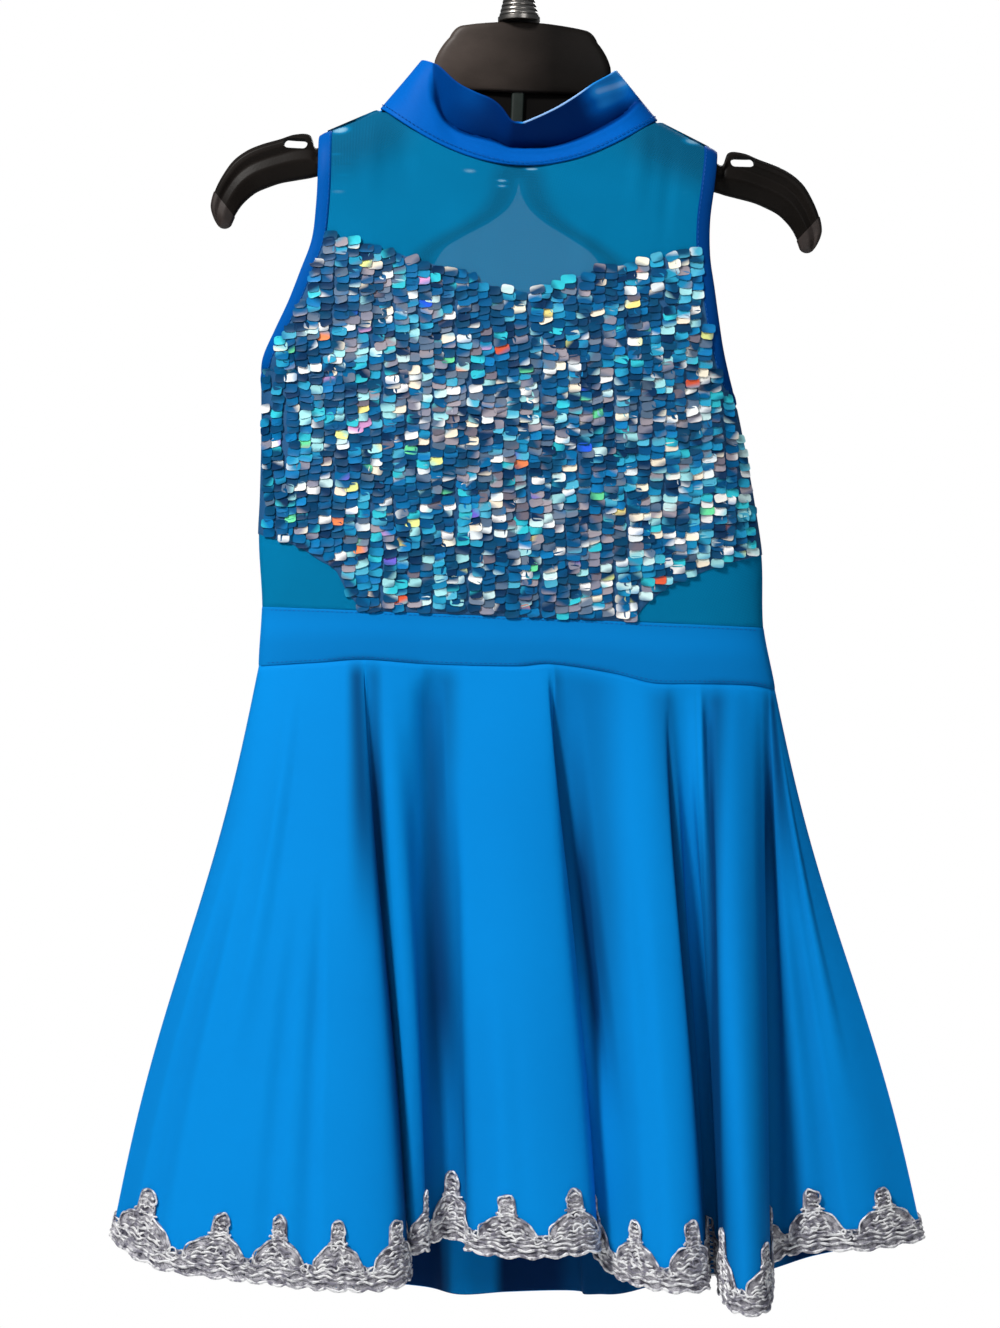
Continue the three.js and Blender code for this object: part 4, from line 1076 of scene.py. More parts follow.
def collar_shade(turn, v):
    """Painted shade on the satin: dark above the crease, less so leftwards and under the top edge
    left of the dip, and on the band's right end; painted light in streaks at the right top corner.
    Below 0, and pale, a painted highlight along the rolled edge of the dip's right flank."""
    turn, v = np.broadcast_arrays(turn, v)
    line = along(COLLAR_CREASE_LINE, np.sin(turn))
    degrees = np.degrees(turn)
    across = ramp(degrees, fold_left(v) - 1, fold_left(v) + 1) * (1 - ramp(degrees, 82, 92))
    streaks = 0.5 + 0.5 * np.sin(26 * v + 5 * turn)
    tone = 0.85 - 0.22 * ramp(-degrees, 4, 48) - 0.26 * bump(degrees, -27, 15) * ramp(v, 0.6, 0.95)
    tone = tone - (1.16 + 0.34 * streaks) * ramp(degrees, 33, 50) * ramp(v, 0.35, 0.75)
    above = ramp(v, line - 0.02, line + 0.05)
    shade = across * above * tone + 0.28 * ramp(degrees, 48, 72) * (1 - above)
    shade = shade * (np.cos(turn) > 0)
    edge = ramp(v, 0.98, 1.0) * ramp(degrees, -4, 4) * (1 - ramp(degrees, 38, 56))
    return lerp(shade, -0.82, edge)


def rings_toward(points):
    """Directions from the neck's middle line out to a grid of points."""
    return unit(points * np.array([1, 1, 0]))


def build_collar():
    """The collar, open by its slit at the centre back, and the stitches above its foot."""
    open_at = math.pi - COLLAR_SLIT
    turn = np.linspace(-open_at, open_at, 300)[None, :]
    v = np.linspace(0, 1, 44)[:, None]
    points = collar_point(turn, v)
    normal = normals_of(points, rings_toward(points))
    collar = shell("stand_collar", points, normal, COLLAR_WALL, FINISH["satin"], COLLAR_WALL / 2,
                   sharp=75, tint=collar_shade(turn, v))
    finished(collar, "blue_satin", "collar")
    sewn = points[3] + normal[3] * COLLAR_WALL
    return collar, stitches("collar_stitches", [(sewn, normal[3])])


def build_tab():
    """The tab over the collar's slit, stitched along its four edges, and the button on it."""
    across = np.linspace(math.pi + TAB_REACH, math.pi - TAB_REACH, 40)[None, :]
    up = np.linspace(TAB_FOOT, TAB_HEAD, 16)[:, None]
    points = collar_point(across, up)
    normal = normals_of(points, front_back(1))
    outside = COLLAR_WALL / 2 + SEAM + TAB_WALL
    tab = shell("button_tab", points, normal, TAB_WALL, FINISH["satin"], outside)
    finished(tab, "blue_satin", "collar_tab")
    face = points + normal * outside
    edged = stitches("tab_stitches", [
        (face[2], normal[2]), (face[-3], normal[-3]),
        (face[2:-2, 2], normal[2:-2, 2]), (face[2:-2, -3], normal[2:-2, -3])])

    middle = collar_point(np.array([math.pi]), np.array([(TAB_FOOT + TAB_HEAD) / 2]))[0]
    away = normal[8, 20]
    button = build_button(middle + away * (outside + SEAM), away)
    return tab, edged, finished(button, "button_plastic", "collar_button")


def build_button(seat, away):
    """A round button turned about the way it faces: a raised rim round a dished middle."""
    side = unit(np.cross(away, np.array([0, 0, 1.0])))
    up = np.cross(side, away)
    radius = np.array([4.3, 4.5, 4.5, 4.3, 3.9, 3.4, 3.1, 1.5, 0.2])
    height = np.array([0.0, 0.2, 1.6, 2.1, 2.3, 2.1, 1.7, 1.6, 1.6])
    turn = np.linspace(0, 2 * np.pi, 40, endpoint=False)
    ring = np.cos(turn)[:, None] * side + np.sin(turn)[:, None] * up
    sections = seat + radius[:, None, None] * ring + height[:, None, None] * away
    return loft("neck_button", sections, FINISH["button"], 50)


# ---------------------------------------------------------------- bodice
# Painted highlights on puckers of the mesh, darker where the strength is below 0: x, height,
# half width, half height, strength.
PUCKER_HIGHLIGHTS = [
    (-103.5, -63, 8.5, 4.0, 0.8), (100.5, -69.5, 8.5, 3.8, 0.72), (7, -87.7, 6, 1.3, 0.85),
    (-28.4, -88.9, 4.5, 1.2, 0.6), (-9.9, -94.5, 5, 1.2, 0.75), (-9.9, -97.6, 5, 1.2, 0.6),
    (-105.5, -78.6, 6, 1.3, 0.16), (-101, -91, 6.5, 1.3, 0.14), (-104, -100.5, 5, 1.3, 0.16),
    (-99, -84.5, 8, 1.7, -0.3), (96, -101, 6, 1.4, 0.1),
]


def under_collar(x):
    return UNDER * ramp(np.abs(x), NECK_HALF + 1, NECK_HALF - 5)


def sunk(x, z, centre):
    """How far a panel dips where it passes under the collar or the waistband."""
    over_neck = np.where(np.abs(x) < NECK_HALF, z - neck(centre, x), -9)
    return 1.0 * np.maximum(ramp(over_neck, -0.6, 1.2), ramp(z, WAIST_TOP + 0.6, WAIST_TOP - 1.2))


def panel_points(side, u, rows, top, bottom):
    """A grid over a panel of the body: `top` and `bottom` give heights for each u."""
    u, v = np.meshgrid(u, np.linspace(0, 1, rows))
    z = lerp(top(u), bottom(u), v)
    x = across_body(u, z)
    centre = NECK_FRONT if side < 0 else NECK_BACK
    return lean(x, body_depth(side, x, z) - side * sunk(x, z, centre), z)


def layered(points):
    """Painted darkening of the front's mesh where another layer lies close behind it, from 0 to 1:
    the binding round the back's keyhole and, higher up, the hanger's arms. The puckers' painted
    highlights take it below 0."""
    x, _, z = np.moveaxis(points, -1, 0)
    pale = sum(strength * bump(np.hypot((x - at) / half, (z - height) / tall), 0, 1)
               for at, height, half, tall, strength in PUCKER_HIGHLIGHTS)
    z = z + x * math.tan(TILT)
    tip = KEYHOLE[0][0] - 6
    hole = np.where(z < tip, along(KEYHOLE, z + 6), 0)
    out = np.hypot(np.maximum(np.abs(x) - hole, 0), np.maximum(z - tip, 0))
    arm = np.array(ARM_SECTIONS[:5])
    low = np.interp(np.abs(x), arm[:, 2], arm[:, 3])
    arms = ramp(z, low - 14, low + 12) * ramp(np.abs(x), 40, 78) * np.where(x < 0, 0.62, 0.68)
    behind = np.maximum(0.5 * bump(out, 7.5, 14.0), arms)
    return behind * (1 - np.clip(2 * np.abs(pale), 0, 1)) - pale


def gathered(points, normal, creases):
    """Moves a grid along its normals by soft creases: u, v, half width, half length, height."""
    rows, columns = points.shape[:2]
    u = np.linspace(0, 1, columns)[None, :]
    v = np.linspace(0, 1, rows)[:, None]
    moved = np.zeros((rows, columns))
    for at_u, at_v, half, long, high in creases:
        moved += high * bump(u, at_u, half) * bump(v, at_v, long)
    return points + normal * moved[..., None]


def panel(name, points, side, wall, finish, lift, slot, node, creases=(), tint=None):
    """A panel of the bodice on a grid of points, softly creased and flat at the side seams."""
    normal = normals_of(points, front_back(side))
    points = gathered(points, normal, creases)
    piece = shell(name, points, seam_normals(points, normal), wall, FINISH[finish], lift,
                  tint=tint and tint(points))
    return finished(piece, slot, node)


YOKE_CREASES = [
    (0.12, 0.3, 0.04, 0.5, 0.9), (0.2, 0.2, 0.05, 0.4, -0.8), (0.82, 0.25, 0.04, 0.45, 0.9),
    (0.9, 0.5, 0.03, 0.5, -0.7), (0.5, 0.05, 0.12, 0.25, -0.9), (0.35, 0.7, 0.06, 0.4, 0.6),
    (0.68, 0.8, 0.05, 0.4, 0.6),
]


def build_yoke():
    """The mesh from the neck and the shoulders down to the sweetheart edge."""
    points = panel_points(
        -1, np.linspace(0, 1, 150), 110,
        lambda u: panel_top(NECK_FRONT, u) + under_collar(across_body(u, NECK_SIDE)),
        lambda u: sweetheart(u) - TUCK)
    return panel("mesh_yoke", points, -1, MESH_WALL, "mesh", -0.2, "stretch_mesh", "front_yoke",
                 YOKE_CREASES, layered)


def build_inserts():
    """The mesh triangles at the sides of the waist."""
    inserts = []
    left, right = INSERT_EDGE[-1][1:]
    for hand, first, last in (("left", 0, (1 - left) / 2), ("right", (1 + right) / 2, 1)):
        points = panel_points(-1, np.linspace(first, last, 60), 24,
                              lambda u: insert_edge(u) + TUCK, lambda u: WAIST_TOP - UNDER + 0 * u)
        inserts.append(panel(f"mesh_insert_{hand}", points, -1, MESH_WALL, "mesh", -0.2,
                             "stretch_mesh", f"side_insert_{hand}"))
    return inserts


def front_point(x, z):
    return lean(x, body_depth(-1, x, z), z)


# ---------------------------------------------------------------- sequins
SEQUIN_SIZE = (8.1, 5.2)
SEQUIN_DROP = 4.2                  # from one sequin to the next down a string
SEQUIN_PITCH = 7.0                 # from one string to the next
SEQUIN_REACH = 152.0               # how far out the strings start and end
TINT_RUNS = (46, 14)               # strings, and runs of like tints down each of them
# The film's tints, in families that show in different parts of the front.
# Partly the film's own hues and partly painted reflection; flash is painted highlight.
SEQUIN_TINTS = {
    "deep": [(0, 58, 98), (0, 70, 112), (0, 86, 138), (4, 70, 108), (0, 104, 160),
             (0, 46, 86), (0, 78, 128)],
    "aqua": [(24, 138, 186), (78, 178, 210), (50, 196, 214), (10, 122, 186), (160, 222, 228),
             (40, 160, 200)],
    "smoke": [(80, 102, 126), (108, 124, 146), (138, 138, 156), (160, 152, 162), (112, 106, 120),
              (92, 116, 144)],
    "flash": [(255, 255, 250), (240, 248, 252), (255, 242, 220), (255, 255, 255), (206, 238, 240)],
    "spark": [(246, 228, 140), (248, 140, 88), (110, 230, 164), (222, 160, 214), (40, 96, 232),
              (112, 100, 214), (232, 240, 150), (232, 96, 64)],
}


def sequin_places(random):
    """Centres of the sequins, strung down the front between its two edges: x, height and the
    string's number. Each string starts at its own height and wanders a little."""
    places = []
    top = SWEETHEART[-1][1] + 1
    for string, x in enumerate(np.arange(-SEQUIN_REACH, SEQUIN_REACH, SEQUIN_PITCH)):
        height = np.arange(top - random.uniform(0, SEQUIN_DROP), WAIST_TOP, -SEQUIN_DROP)
        x = x + 1.6 * np.sin(height / 17 + random.uniform(0, 6))
        x = x + random.normal(0, 0.6, len(height))
        height = height + random.normal(0, 0.5, len(height))
        half = half_width(x, height) - armhole_inset(height, BINDING_WIDTH - 1)
        u = np.clip((x / half + 1) / 2, 0, 1)
        free = np.where(height < ARMHOLE_BOTTOM - BINDING_WIDTH, 2.4, 0)
        inside = ((np.abs(x) < half - free) & (height < sweetheart(u) + 1)
                  & (height > insert_edge(u) + 1.5))
        places.append(np.stack([x, height, string + 0 * x], -1)[inside])
    return np.concatenate(places)


def sequin_plate(corners=12):
    """One sequin: a dished plate with rounded corners, thin, closed, and its faces."""
    turn = np.linspace(0, 2 * np.pi, corners, endpoint=False) + np.pi / corners
    corner = np.stack([np.cos(turn), np.sin(turn)], -1)
    rim = np.sign(corner) * np.abs(corner) ** 0.5 * np.array(SEQUIN_SIZE) / 2
    rings = [np.column_stack([ring, np.full(corners, height)])
             for ring, height in ((rim * 0.62, 0.05), (rim, 0.22), (rim, 0.04))]
    middles = [(0, 0, 0.02), (0, 0, -0.16)]
    return np.concatenate([*rings, middles]), capped_faces(len(rings), corners)


def sequin_colours(x, z, string, random):
    """A tint for each sequin. Deep blues are everywhere; aqua comes in short upright runs; smoky
    and bright ones crowd into painted sheen: a band that falls to the right, a patch beside it."""
    count = len(x)
    string = string.astype(int)
    strings, rows = TINT_RUNS
    runs = random.normal(size=TINT_RUNS)
    row = np.clip(((-130 - z) / 19.0 + 0.5 * np.sin(string * 2.4)).astype(int), 0, rows - 1)
    streak, dark = runs[string, row], runs[(string + 17) % strings, row]
    right, left = ramp(x, 30, 120), ramp(-x, 30, 120)
    # painted sheen: a band falling to the right and a patch beside it
    off = (z + 201 + 1.07 * (x + 69)) / 1.46
    band = np.exp(-(off / 26) ** 2) + 0.8 * np.exp(-((x - 70) / 38) ** 2 - ((z + 219) / 20) ** 2)
    weights = np.stack(np.broadcast_arrays(
        0.8 + 0.5 * left - 0.25 * right + 1.1 * np.exp(0.9 * dark),
        (0.5 + 0.45 * right) * np.exp(1.1 * streak),
        0.3 - 0.1 * left + 1.6 * band,
        0.24 - 0.06 * left + 0.42 * band + 0.1 * np.maximum(streak, 0) + 0.26 * right,
        0.07), -1)
    odds = weights.cumsum(1) / weights.sum(1, keepdims=True)
    family = (random.random(count)[:, None] > odds).sum(1)
    pick = random.random(count)
    shade = random.uniform(0.88, 1.1, count)
    colours = np.ones((count, 4))
    for number, tints in enumerate(SEQUIN_TINTS.values()):
        table = np.array([srgb(*tint) for tint in tints])[:, :3]
        chosen = family == number
        colours[chosen, :3] = table[(pick[chosen] * len(table)).astype(int)]
    colours[:, :3] = np.clip(colours[:, :3] * shade[:, None], 0, 1)
    return colours


def build_sequins():
    """The sequined front: a dark knit ground, and the sequins sewn over it like shingles, each
    tipped so that its foot and its right end lie over the next ones. Across each the tint changes
    from one to another, partly the film's play of colour and partly painted reflection."""
    points = panel_points(-1, np.linspace(0, 1, 120), 30, sweetheart, insert_edge)
    ground = panel("sequin_ground", points, -1, KNIT_WALL, "ground", 0.4, "sequins",
                   "sequin_panel")

    random = np.random.default_rng(11)
    x, z, string = sequin_places(random).T
    count = len(x)
    across = unit(front_point(x + 0.5, z) - front_point(x - 0.5, z))
    down = unit(front_point(x, z - 0.5) - front_point(x, z + 0.5))
    out = unit(np.cross(down, across))
    out = np.where(out[:, 1:2] > 0, -out, out)
    tip, yaw, spin = [np.radians(random.normal(mean, spread, (count, 1)))
                      for mean, spread in ((6, 2.2), (3.5, 2.2), (-4, 8))]
    long = np.cos(spin) * across + np.sin(spin) * down
    short = np.cos(spin) * down - np.sin(spin) * across
    face = unit(out * np.cos(tip) - short * np.sin(tip) - long * np.sin(yaw))
    long = unit(long - face * (long * face).sum(-1, keepdims=True))
    short = np.cross(face, long)
    centre = front_point(x, z) + out * (0.8 + random.uniform(0, 0.3, (count, 1)))
    size = random.uniform(0.86, 1.12, (count, 1, 1))

    plate, faces = sequin_plate()
    wide, tall, high = plate.T[:, None, :, None]
    points = centre[:, None] + (
        wide * size * long[:, None] + tall * short[:, None] + high * face[:, None])
    points, faces = points.reshape(-1, 3), repeated(faces, len(plate), count)
    tints, others = [sequin_colours(x, z, string, random)[:, None, :] for _ in range(2)]
    way = random.uniform(0, 2 * np.pi, (count, 1))
    over = np.cos(way) * plate[:, 0] / SEQUIN_SIZE[0] + np.sin(way) * plate[:, 1] / SEQUIN_SIZE[1]
    # painted reflection across each sequin, mixed with the film's hues
    colours = lerp(tints, others, 0.75 * ramp(over, 0.0, 0.5)[..., None]).reshape(-1, 4)
    sequins = make("sequins", points, facing_out(points, faces), FINISH["sequins"], sharp=30,
                   colours=colours)
    return ground, finished(sequins, "sequins")


# ---------------------------------------------------------------- back
def keyhole_point(side_x, t, w):
    """The keyhole's binding: t runs down its edge from tip to foot, w from the hole outwards."""
    z = lerp(through(KEYHOLE, t, 0), through(KEYHOLE_OUTER, t, 0), w)
    x = side_x * np.maximum(
        0.02, lerp(through(KEYHOLE, t, 1), through(KEYHOLE_OUTER, t, 1), w))
    return lean(x, body_depth(1, x, z), z)


def keyhole_edge(z):
    """Half width of the keyhole with its binding, at a height."""
    inside = (z < KEYHOLE_OUTER[0][0]) & (z > KEYHOLE_OUTER[-1][0])
    return np.where(inside, np.maximum(0, along(KEYHOLE_OUTER, z) - TUCK), 0) + 0.02


BACK_PANEL_CREASES = [
    (0.3, 0.8, 0.12, 0.3, -0.9), (0.6, 0.6, 0.1, 0.35, 0.9), (0.8, 0.85, 0.1, 0.25, -1.0),
    (0.45, 0.2, 0.1, 0.25, 0.7),
]


def build_back():
    """The two back panels between the shoulders, the armholes and the waist, cut away round the
    keyhole, and the binding along each side of the keyhole."""
    pieces = {}
    rows = np.concatenate([np.linspace(0, 0.02, 6), np.linspace(0.02, 1, 80)[1:]])[:, None]
    u = np.linspace(0, 1, 60)[None, :]
    across = 0.5 + 0.5 * u
    top = panel_top(NECK_BACK, across) + under_collar(across_body(across, NECK_SIDE))
    z = lerp(top, WAIST_TOP - UNDER, rows)
    t = np.linspace(0, 1, 120)[None, :]
    w = np.linspace(0, 1, 10)[:, None]
    for hand, sign in SIDES:
        outer = half_width(sign, z) - armhole_inset(z, BINDING_WIDTH - TUCK)
        x = sign * lerp(keyhole_edge(z), outer, u)
        points = lean(x, body_depth(1, x, z) - sunk(x, z, NECK_BACK), z)
        cloth = panel(f"back_panel_{hand}", points, 1, KNIT_WALL, "spandex", -0.1,
                      "blue_spandex", f"back_{hand}", BACK_PANEL_CREASES)
        bound = keyhole_point(sign, t, w)
        normal = normals_of(bound, front_back(1))
        bound = bound + normal * (BINDING_CROWN * np.sin(np.pi * w))[..., None]
        binding = shell(f"keyhole_edge_{hand}", bound, normal, BINDING_WALL, FINISH["deep"],
                        BINDING_LIFT)
        finished(binding, "blue_satin", f"keyhole_binding_{hand}")
        line = (bound + normal * BINDING_LIFT)[8]
        sewn = stitches(f"keyhole_stitches_{hand}", [(line, normal[8])])
        pieces[hand] = (cloth, binding, sewn)
    return pieces


# ---------------------------------------------------------------- armhole bindings
ARMHOLE_PAINTED_SHADE = {"left": 0.0, "right": 0.55}    # painted shade on the right one, away from the light


def build_armholes():
    """Rings of binding: down the front edge, under the arm, up the back edge and over."""
    pieces = {}
    steps = 260
    turn = (np.arange(steps) / steps * 2 * np.pi)[None, :]
    v = np.linspace(0, 1, 9)[:, None]
    share = (1 - np.cos(turn)) / 2
    for hand, sign in SIDES:
        top = shoulder_height(half_width(sign, BODICE_SECTIONS[1][0]) - v * BINDING_WIDTH)
        z = lerp(top, ARMHOLE_BOTTOM - v * BINDING_WIDTH, share)
        x = sign * (half_width(sign, z) - v * BINDING_WIDTH * np.sqrt(1 - share**8))
        y = np.where(turn < np.pi, body_depth(-1, x, z), body_depth(1, x, z))
        points = lean(x, y, z)
        normal = normals_of(points, np.array([sign, 0, 0]), ring=True)
        points = points + normal * (BINDING_CROWN * np.sin(np.pi * v))[..., None]
        # painted shade, deeper on the right binding
        deep = np.full(points.shape[:2], ARMHOLE_PAINTED_SHADE[hand])
        binding = shell(f"armhole_edge_{hand}", points, normal, BINDING_WALL, FINISH["binding"],
                        BINDING_LIFT, ring=True, tint=deep)
        finished(binding, "blue_satin", f"armhole_binding_{hand}")
        line = np.append(np.arange(steps), 0)
        face = (points + normal * BINDING_LIFT)[7, line]
        pieces[hand] = (binding, stitches(f"armhole_stitches_{hand}", [(face, normal[7, line])]))
    return pieces


# ---------------------------------------------------------------- waistband
def build_waistband():
    """The band from side seam to side seam, crowned a little between its two seams. Its tint is
    painted shade: over all of it, less in its upper part, and more, unevenly, at its foot
    where the skirt's seam pulls it in."""
    pieces = {}
    share = np.linspace(-1, 1, 180)[None, :]
    v = np.linspace(0, 1, 22)[:, None]
    foot = waist_seam(share * half_width(share, WAIST_BOTTOM))
    z = lerp(WAIST_TOP, foot, v)
    x = share * half_width(share, z)
    crown = 0.5 * np.sin(np.pi * v) ** 0.6
    uneven = 0.5 + 0.5 * np.sin(9 * share + 1.2 * np.sin(17 * share))
    shade = 0.26 + 0.26 * ramp(v, 0.86, 1) * uneven - 0.1 * bump(v, 0.3, 0.4)
    for hand, side in FACES:
        points = lean(x, body_depth(side, x, z), z)
        normal = normals_of(points, front_back(side))
        points = points + normal * crown[..., None]
        band = shell(f"waistband_{hand}_panel", points, seam_normals(points, normal), BAND_WALL,
                     FINISH["spandex"], tint=shade)
        finished(band, "blue_spandex", f"waistband_{hand}")
        sewn = stitches(f"waistband_stitches_{hand}", [
            (points[row, 3:-3], normal[row, 3:-3]) for row in (1, -2)])
        pieces[hand] = (band, sewn)
    return pieces


# ---------------------------------------------------------------- skirt
class Skirt:
    """One half of the skirt. Down it v runs from 0 at the waist to 1 at the cloth's edge, and
    s, in millimetres, along the hem. Between the folds soft creases are added along the
    surface's normals."""

    def __init__(self, side, folds, creases, pressed, shades):
        self.side, self.folds, self.creases = side, folds, creases
        self.pressed, self.shades = pressed, shades
        self.stops = np.linspace(0, 1, 2401)
        edge = self.folded(self.stops, np.ones_like(self.stops))
        steps = np.linalg.norm(np.diff(edge, axis=0), axis=-1)
        self.lengths = np.concatenate([[0], steps.cumsum()])
        self.whole = self.lengths[-1]

    def folded(self, u, v):
        """The folds open out as they go down: each point moves from the waist's curve to the
        hem's, sideways evenly and outwards soonest near the waist."""
        waist = through(self.folds, u, 0)
        spread = v - FLARE_DELAY * np.sin(2 * np.pi * v)
        x = lerp(waist, through(self.folds, u, 1), spread)
        seam = waist_seam(waist) - SEAM
        top = body_depth(self.side, waist, seam)
        y = lerp(top, through(self.folds, u, 2), np.maximum(v, 0) ** FOLD_GROWTH)
        z = lerp(seam, through(self.folds, u, 3) + LACE_DROP, v)
        return lean(x, self.side * np.maximum(SIDE_SEAM / 2, self.side * y), z)

    def normals(self, u, v):
        tiny = 5e-4
        across = self.folded(np.clip(u + tiny, 0, 1), v) - self.folded(np.clip(u - tiny, 0, 1), v)
        down = self.folded(u, v + tiny) - self.folded(u, v - tiny)
        normal = unit(np.cross(across, down)) * self.side
        return seam_normals(self.folded(u, v), normal, 2 * SEAM)

    def strips(self, table, s, v):
        """The sum of soft strips down the cloth, each a hill across and faded at its ends."""
        total = 0
        for waist, hem, half, start, end, strength in table:
            centre = lerp(waist, hem, v) * self.whole
            length = ramp(v, start, start + 0.3) * (1 - ramp(v, end - 0.3, end))
            total = total + strength * bump(s, centre, half * lerp(1.0, 1.2, v)) * length
        return total

    def creased(self, s, v):
        return self.strips(self.creases, s, v) * ramp(v, 0, 0.08)

    def hollow(self, points, reach=70.0):
        """How deep each point lies in a fold: the share of the half circle in front of it, in a
        level section, that the cloth on either side of it hides."""
        x, y = points[..., 0], points[..., 1] * self.side
        hidden = np.zeros_like(x)
        for sign in (-1, 1):
            across = (x[:, None, :] - x[:, :, None]) * sign
            rise = np.arctan2(y[:, None, :] - y[:, :, None], np.maximum(across, 0.5))
            near = (across > 0) & (across < reach)
            hidden += np.maximum(np.where(near, rise, 0).max(-1), 0)
        return np.clip(hidden / np.pi, 0, 1)

    def place(self, s, v, out):
        """Points `out` millimetres outside the cloth, and the cloth's normals there."""
        s, v = np.broadcast_arrays(s, v)
        u = np.interp(s, self.lengths, self.stops)
        normal = self.normals(u, v)
        return self.folded(u, v) + normal * (self.creased(s, v) + out)[..., None], normal

    def outer_shade(self, points, s, v):
        """Painted shade on the outer face: in the hollows of the folds, and in its soft strips."""
        # weight of the painted shade in the folds at each point along the hem
        pressed = np.interp(s / self.whole, *zip(*self.pressed))
        deep = pressed * ramp(self.hollow(points), 0.08, 0.62) * lerp(0.45, 1, ramp(v, 0, 0.35))
        deep = deep + self.strips(self.shades, s, v)
        return np.clip(deep * ramp(v, -0.01, 0.03), 0, 0.9)


def inner_shade(points, v):
    """Painted shade on the skirt's inner face: darker where the folds stand out, a painted lit
    strip near the hem left of the middle, and evenly dark right of the middle."""
    x, out = points[..., 0], np.abs(points[..., 1])
    light = ramp(x, -41, -37) * (1 - ramp(x, -18, -9)) * ramp(v, 0.6, 0.9)
    even = ramp(x, 20, 34) * (1 - ramp(x, 60, 75))
    return lerp(lerp(np.clip(0.35 + (out - 16) / 24, 0.2, 1), 0.02, light), 0.85, even)


SKIRTS = {
    "front": Skirt(-1, FRONT_FOLDS, FRONT_CREASES, FRONT_PAINTED_FOLD_SHADE, FRONT_SHADES),
    "back": Skirt(1, BACK_FOLDS, BACK_CREASES, BACK_PAINTED_FOLD_SHADE, []),
}


def build_skirts():
    """The skirt's two halves. The top edge is tucked under the waistband."""
    pieces = {}
    v = np.concatenate([np.linspace(-0.01, 0.05, 13)[:-1], np.linspace(0.05, 1, 42)])[:, None]
    for hand, skirt in SKIRTS.items():
        s = np.linspace(0, skirt.whole, int(skirt.whole / SKIRT_STEP))[None, :]
        side = ramp(np.abs(2 * s / skirt.whole - 1), 0.985, 1)
        tucked = -SKIRT_WALL * (1 - ramp(v, -0.003, 0.003)) * (1 - side)
        points, normal = skirt.place(s, v, tucked)
        piece = shell(f"skirt_{hand}_panel", points, normal, SKIRT_WALL, FINISH["spandex"],
                      sharp=80, tint=(skirt.outer_shade(points, s, v), inner_shade(points, v)))
        pieces[hand] = finished(piece, "blue_spandex", f"skirt_{hand}")
    return pieces


# ---------------------------------------------------------------- lace
DOME_HALF, DOME_HEIGHT = 0.42, 22.0    # half width as a share of a scallop, height in millimetres
KNOB_HALF, KNOB_HEIGHT = 0.12, 35.0
# Middles of the front's scallops, as shares of the hem; the back's are even.
FRONT_SCALLOPS = [
    0.035, 0.112, 0.165, 0.217, 0.268, 0.318, 0.345, 0.374, 0.441, 0.50, 0.552, 0.602, 0.657,
    0.703, 0.749, 0.802, 0.85, 0.897, 0.966,
]
BACK_SCALLOPS = [(k + 0.5) / 15 for k in range(15)]


def arc(centre, half, start, end, count, wave=0.0, waves=0):
    """Part of an ellipse, in degrees, that may ripple in and out."""
    turn = np.linspace(start, end, count)
    ripple = 1 + wave * np.sin(np.radians(turn * waves))
    return np.stack([centre[0] + half[0] * ripple * np.cos(np.radians(turn)),
                     centre[1] + half[1] * ripple * np.sin(np.radians(turn))], -1)


def strand(half, height, sag, ripple, waves, count=30):
    """A rippled thread across a scallop that sags by `sag` at its ends."""
    t = np.linspace(-1, 1, count)
    return np.stack([half * t, height - sag * t**2 + ripple * np.sin(waves * np.pi * t)], -1)


def motif():
    """One scallop of the lace as cords, each a row of points (share of the scallop, height
    above the edge) with its radius: rippled foot cords, a mound of stacked strands inside an
    outline, side leaves, and a crown filled with short strands."""
    foot = np.linspace(-0.5, 0.5, 30)
    stems = [(np.stack([np.full(8, x), np.linspace(20.5, KNOB_HEIGHT - 8, 8)], -1), 0.55)
             for x in (-0.1, 0.1)]
    leaves = [(arc((x, 8.6), (0.06, 2.4), 0, 360, 12), 0.5) for x in (-0.44, 0.44)]
    return [
        (np.stack([foot, lace_foot(foot) + 0.7], -1), 0.85),
        (strand(0.5, 2.7, 0, 0.7, 3), 0.75), (strand(0.5, 5.2, -0.4, 0.6, 4), 0.62),
        (strand(0.5, 7.7, -0.6, 0.7, 3), 0.66),
        (arc((0, 8), (DOME_HALF, DOME_HEIGHT - 8), 0, 180, 34, 0.02, 10), 0.55),
        (strand(0.13, 20.2, 1.0, 0.4, 2, 16), 0.62), (strand(0.21, 17.6, 1.8, 0.5, 3, 20), 0.66),
        (strand(0.28, 15.0, 2.4, 0.5, 4, 24), 0.6), (strand(0.32, 12.4, 2.2, 0.6, 4, 26), 0.68),
        (strand(0.36, 9.9, 1.4, 0.6, 5, 28), 0.62),
        (arc((0.02, 13.4), (0.07, 2.6), 0, 360, 12), 0.5),
        (arc((0, KNOB_HEIGHT - 5.5), (KNOB_HALF - 0.01, 4.9), -35, 215, 20), 0.62),
        (strand(0.07, KNOB_HEIGHT - 3.6, 0.8, 0.2, 1, 8), 0.6),
        (strand(0.09, KNOB_HEIGHT - 6.4, 0.2, 0.3, 2, 10), 0.66),
        (strand(0.09, KNOB_HEIGHT - 9.0, 0.2, 0.3, 2, 10), 0.5),
        *stems, (strand(0.16, 23.4, 0.6, 0.3, 2, 12), 0.66), *leaves,
    ]


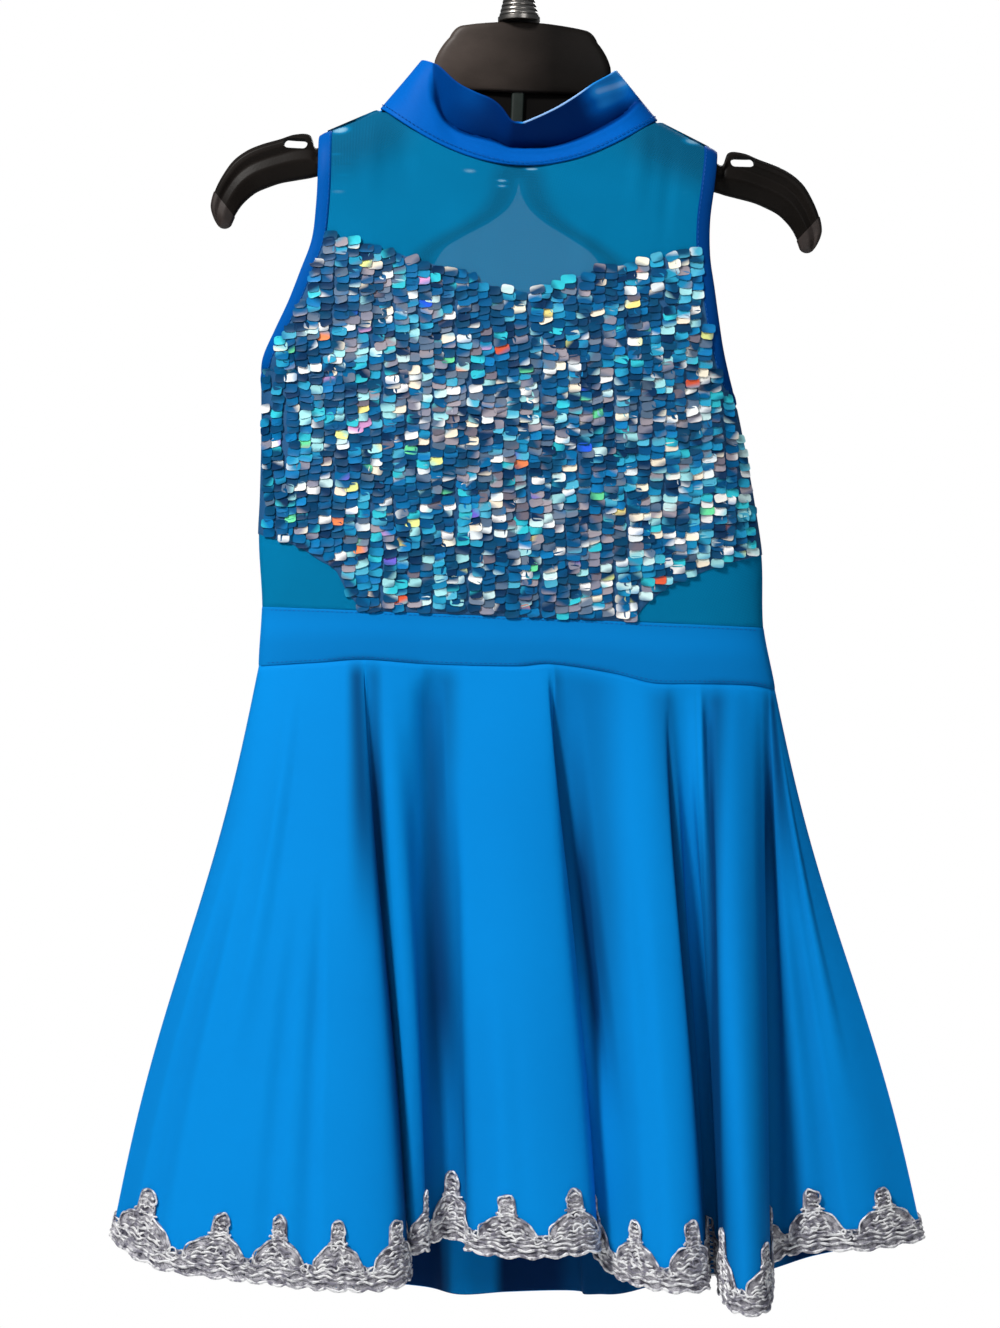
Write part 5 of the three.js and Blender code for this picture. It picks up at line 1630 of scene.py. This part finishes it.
def hand_worked(random, path, radius, count):
    """A cord of the motif in each of `count` scallops, none quite the same: taller or lower
    above its foot, leaning, rippled at its own phase, and thick and thin along its length."""
    k = np.arange(count)[:, None]
    t = np.linspace(0, 1, len(path))[None, :]
    share, high = path[None, :, 0] + 0 * k, path[None, :, 1] + 0 * k
    above = np.maximum(high - 7, 0)
    phase = random.uniform(0, 2 * np.pi, (3, count, 1))
    share = share + 0.0011 * np.sin(1.9 * k + 0.6) * above
    share = share + 0.012 * np.sin(2 * np.pi * 1.5 * t + phase[0])
    ripple = 0.55 * np.sin(2 * np.pi * 2.5 * t + phase[1]) * ramp(high, 1, 6)
    high = high + above * scallop_growth(k) + ripple
    thick = 0.62 + 0.6 * np.abs(np.sin(np.pi * (0.22 * len(path)) * t + phase[2]))
    return k + 0.5 + share, high, radius * thick


def scallop_growth(k):
    """How much taller than the pattern scallop `k` is above its foot, as a share."""
    return 0.09 * np.sin(2.7 * k + 1.1)


def lace_foot(n):
    """Height of the lace's own edge, in small scallops, three to a motif."""
    return -0.6 - 1.8 * np.abs(np.sin(3 * np.pi * (n + 0.5)))


def lace_top(n, valley, dome, knob):
    """Height of the lace's upper outline: a valley, domes and a knob on each."""
    p = n % 1.0 - 0.5
    domed = 8 + (dome - 8) * np.sqrt(np.clip(1 - (p / DOME_HALF) ** 2, 0, 1))
    top = np.where(np.abs(p) < KNOB_HALF, np.maximum(domed, knob - 220 * p**2), domed)
    grown = top + np.maximum(top - 7, 0) * scallop_growth(np.floor(n))
    return np.maximum(valley, grown)


class Lace:
    """The trim over one half's hem. Along it n counts the scallops from 0 at one side seam,
    each with its middle at a half; heights rise from the trim's foot."""

    def __init__(self, hand, middles, rise):
        self.hand, self.rise, self.skirt, self.count = hand, rise, SKIRTS[hand], len(middles)
        self.stops = np.concatenate([[0], np.arange(self.count) + 0.5, [self.count]])
        self.shares = np.concatenate([[0], middles, [1]])

    def at(self, n, high, out):
        """Points `out` millimetres over the cloth, and its normals there."""
        s = np.interp(n, self.stops, self.shares) * self.skirt.whole
        return self.skirt.place(s, 1 - (high + self.rise) / SKIRT_LENGTH, out)

    def web(self, kind, top, lift, wall, across, rows):
        """A shell of open lace, `across` steps to a scallop, up to its valleys, domes and knobs:
        `top` has their three heights."""
        n = np.linspace(0, self.count, self.count * across + 1)[None, :]
        w = np.linspace(0, 1, rows)[:, None]
        points, normal = self.at(n, lerp(lace_top(n, *top), lace_foot(n - 0.5), w), lift)
        piece = shell(f"lace_{self.hand}_{kind}", points, normal, wall, FINISH[kind], sharp=80)
        return finished(piece, "silver_lace")

    def cords(self, random):
        """The motif's cords in every scallop."""
        parts = []
        for path, radius in motif():
            n, high, thick = hand_worked(random, path, radius, self.count)
            inside = np.clip(n, 0.01, self.count - 0.01)
            parts.append(tube(self.at(inside, high, 1.5)[0], thick, 5))
        points, faces = joined(parts)
        piece = make(f"lace_{self.hand}_cords", points, faces, FINISH["lace"], sharp=60)
        return finished(piece, "silver_lace")


def build_lace():
    """Scalloped lace sewn over the hem: a thin net, an embroidered filling, and cords."""
    pieces = {}
    random = np.random.default_rng(5)
    for hand, middles, rise in (
            ("front", FRONT_SCALLOPS, 0.0), ("back", BACK_SCALLOPS, BACK_LACE_RISE)):
        lace = Lace(hand, middles, rise)
        net = lace.web("net", (11.0, DOME_HEIGHT + 0.6, KNOB_HEIGHT), 0.7, 0.3, 44, 10)
        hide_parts(f"lace_{hand}")
        filling = lace.web("filling", (8.6, DOME_HEIGHT - 0.6, KNOB_HEIGHT - 2), 1.2, 0.4, 36, 12)
        pieces[hand] = (net, filling, lace.cords(random))
    return pieces


# ---------------------------------------------------------------- assembly
build_camera()
build_floor()
build_world()
build_lights()
build_hanger()
build_ferrule()
build_hook()
collar, collar_sewn = build_collar()
tab, tab_sewn, button = build_tab()
yoke = build_yoke()
inserts = build_inserts()
ground, sequins = build_sequins()
backs = build_back()
armholes = build_armholes()
bands = build_waistband()
skirts = build_skirts()
laces = build_lace()
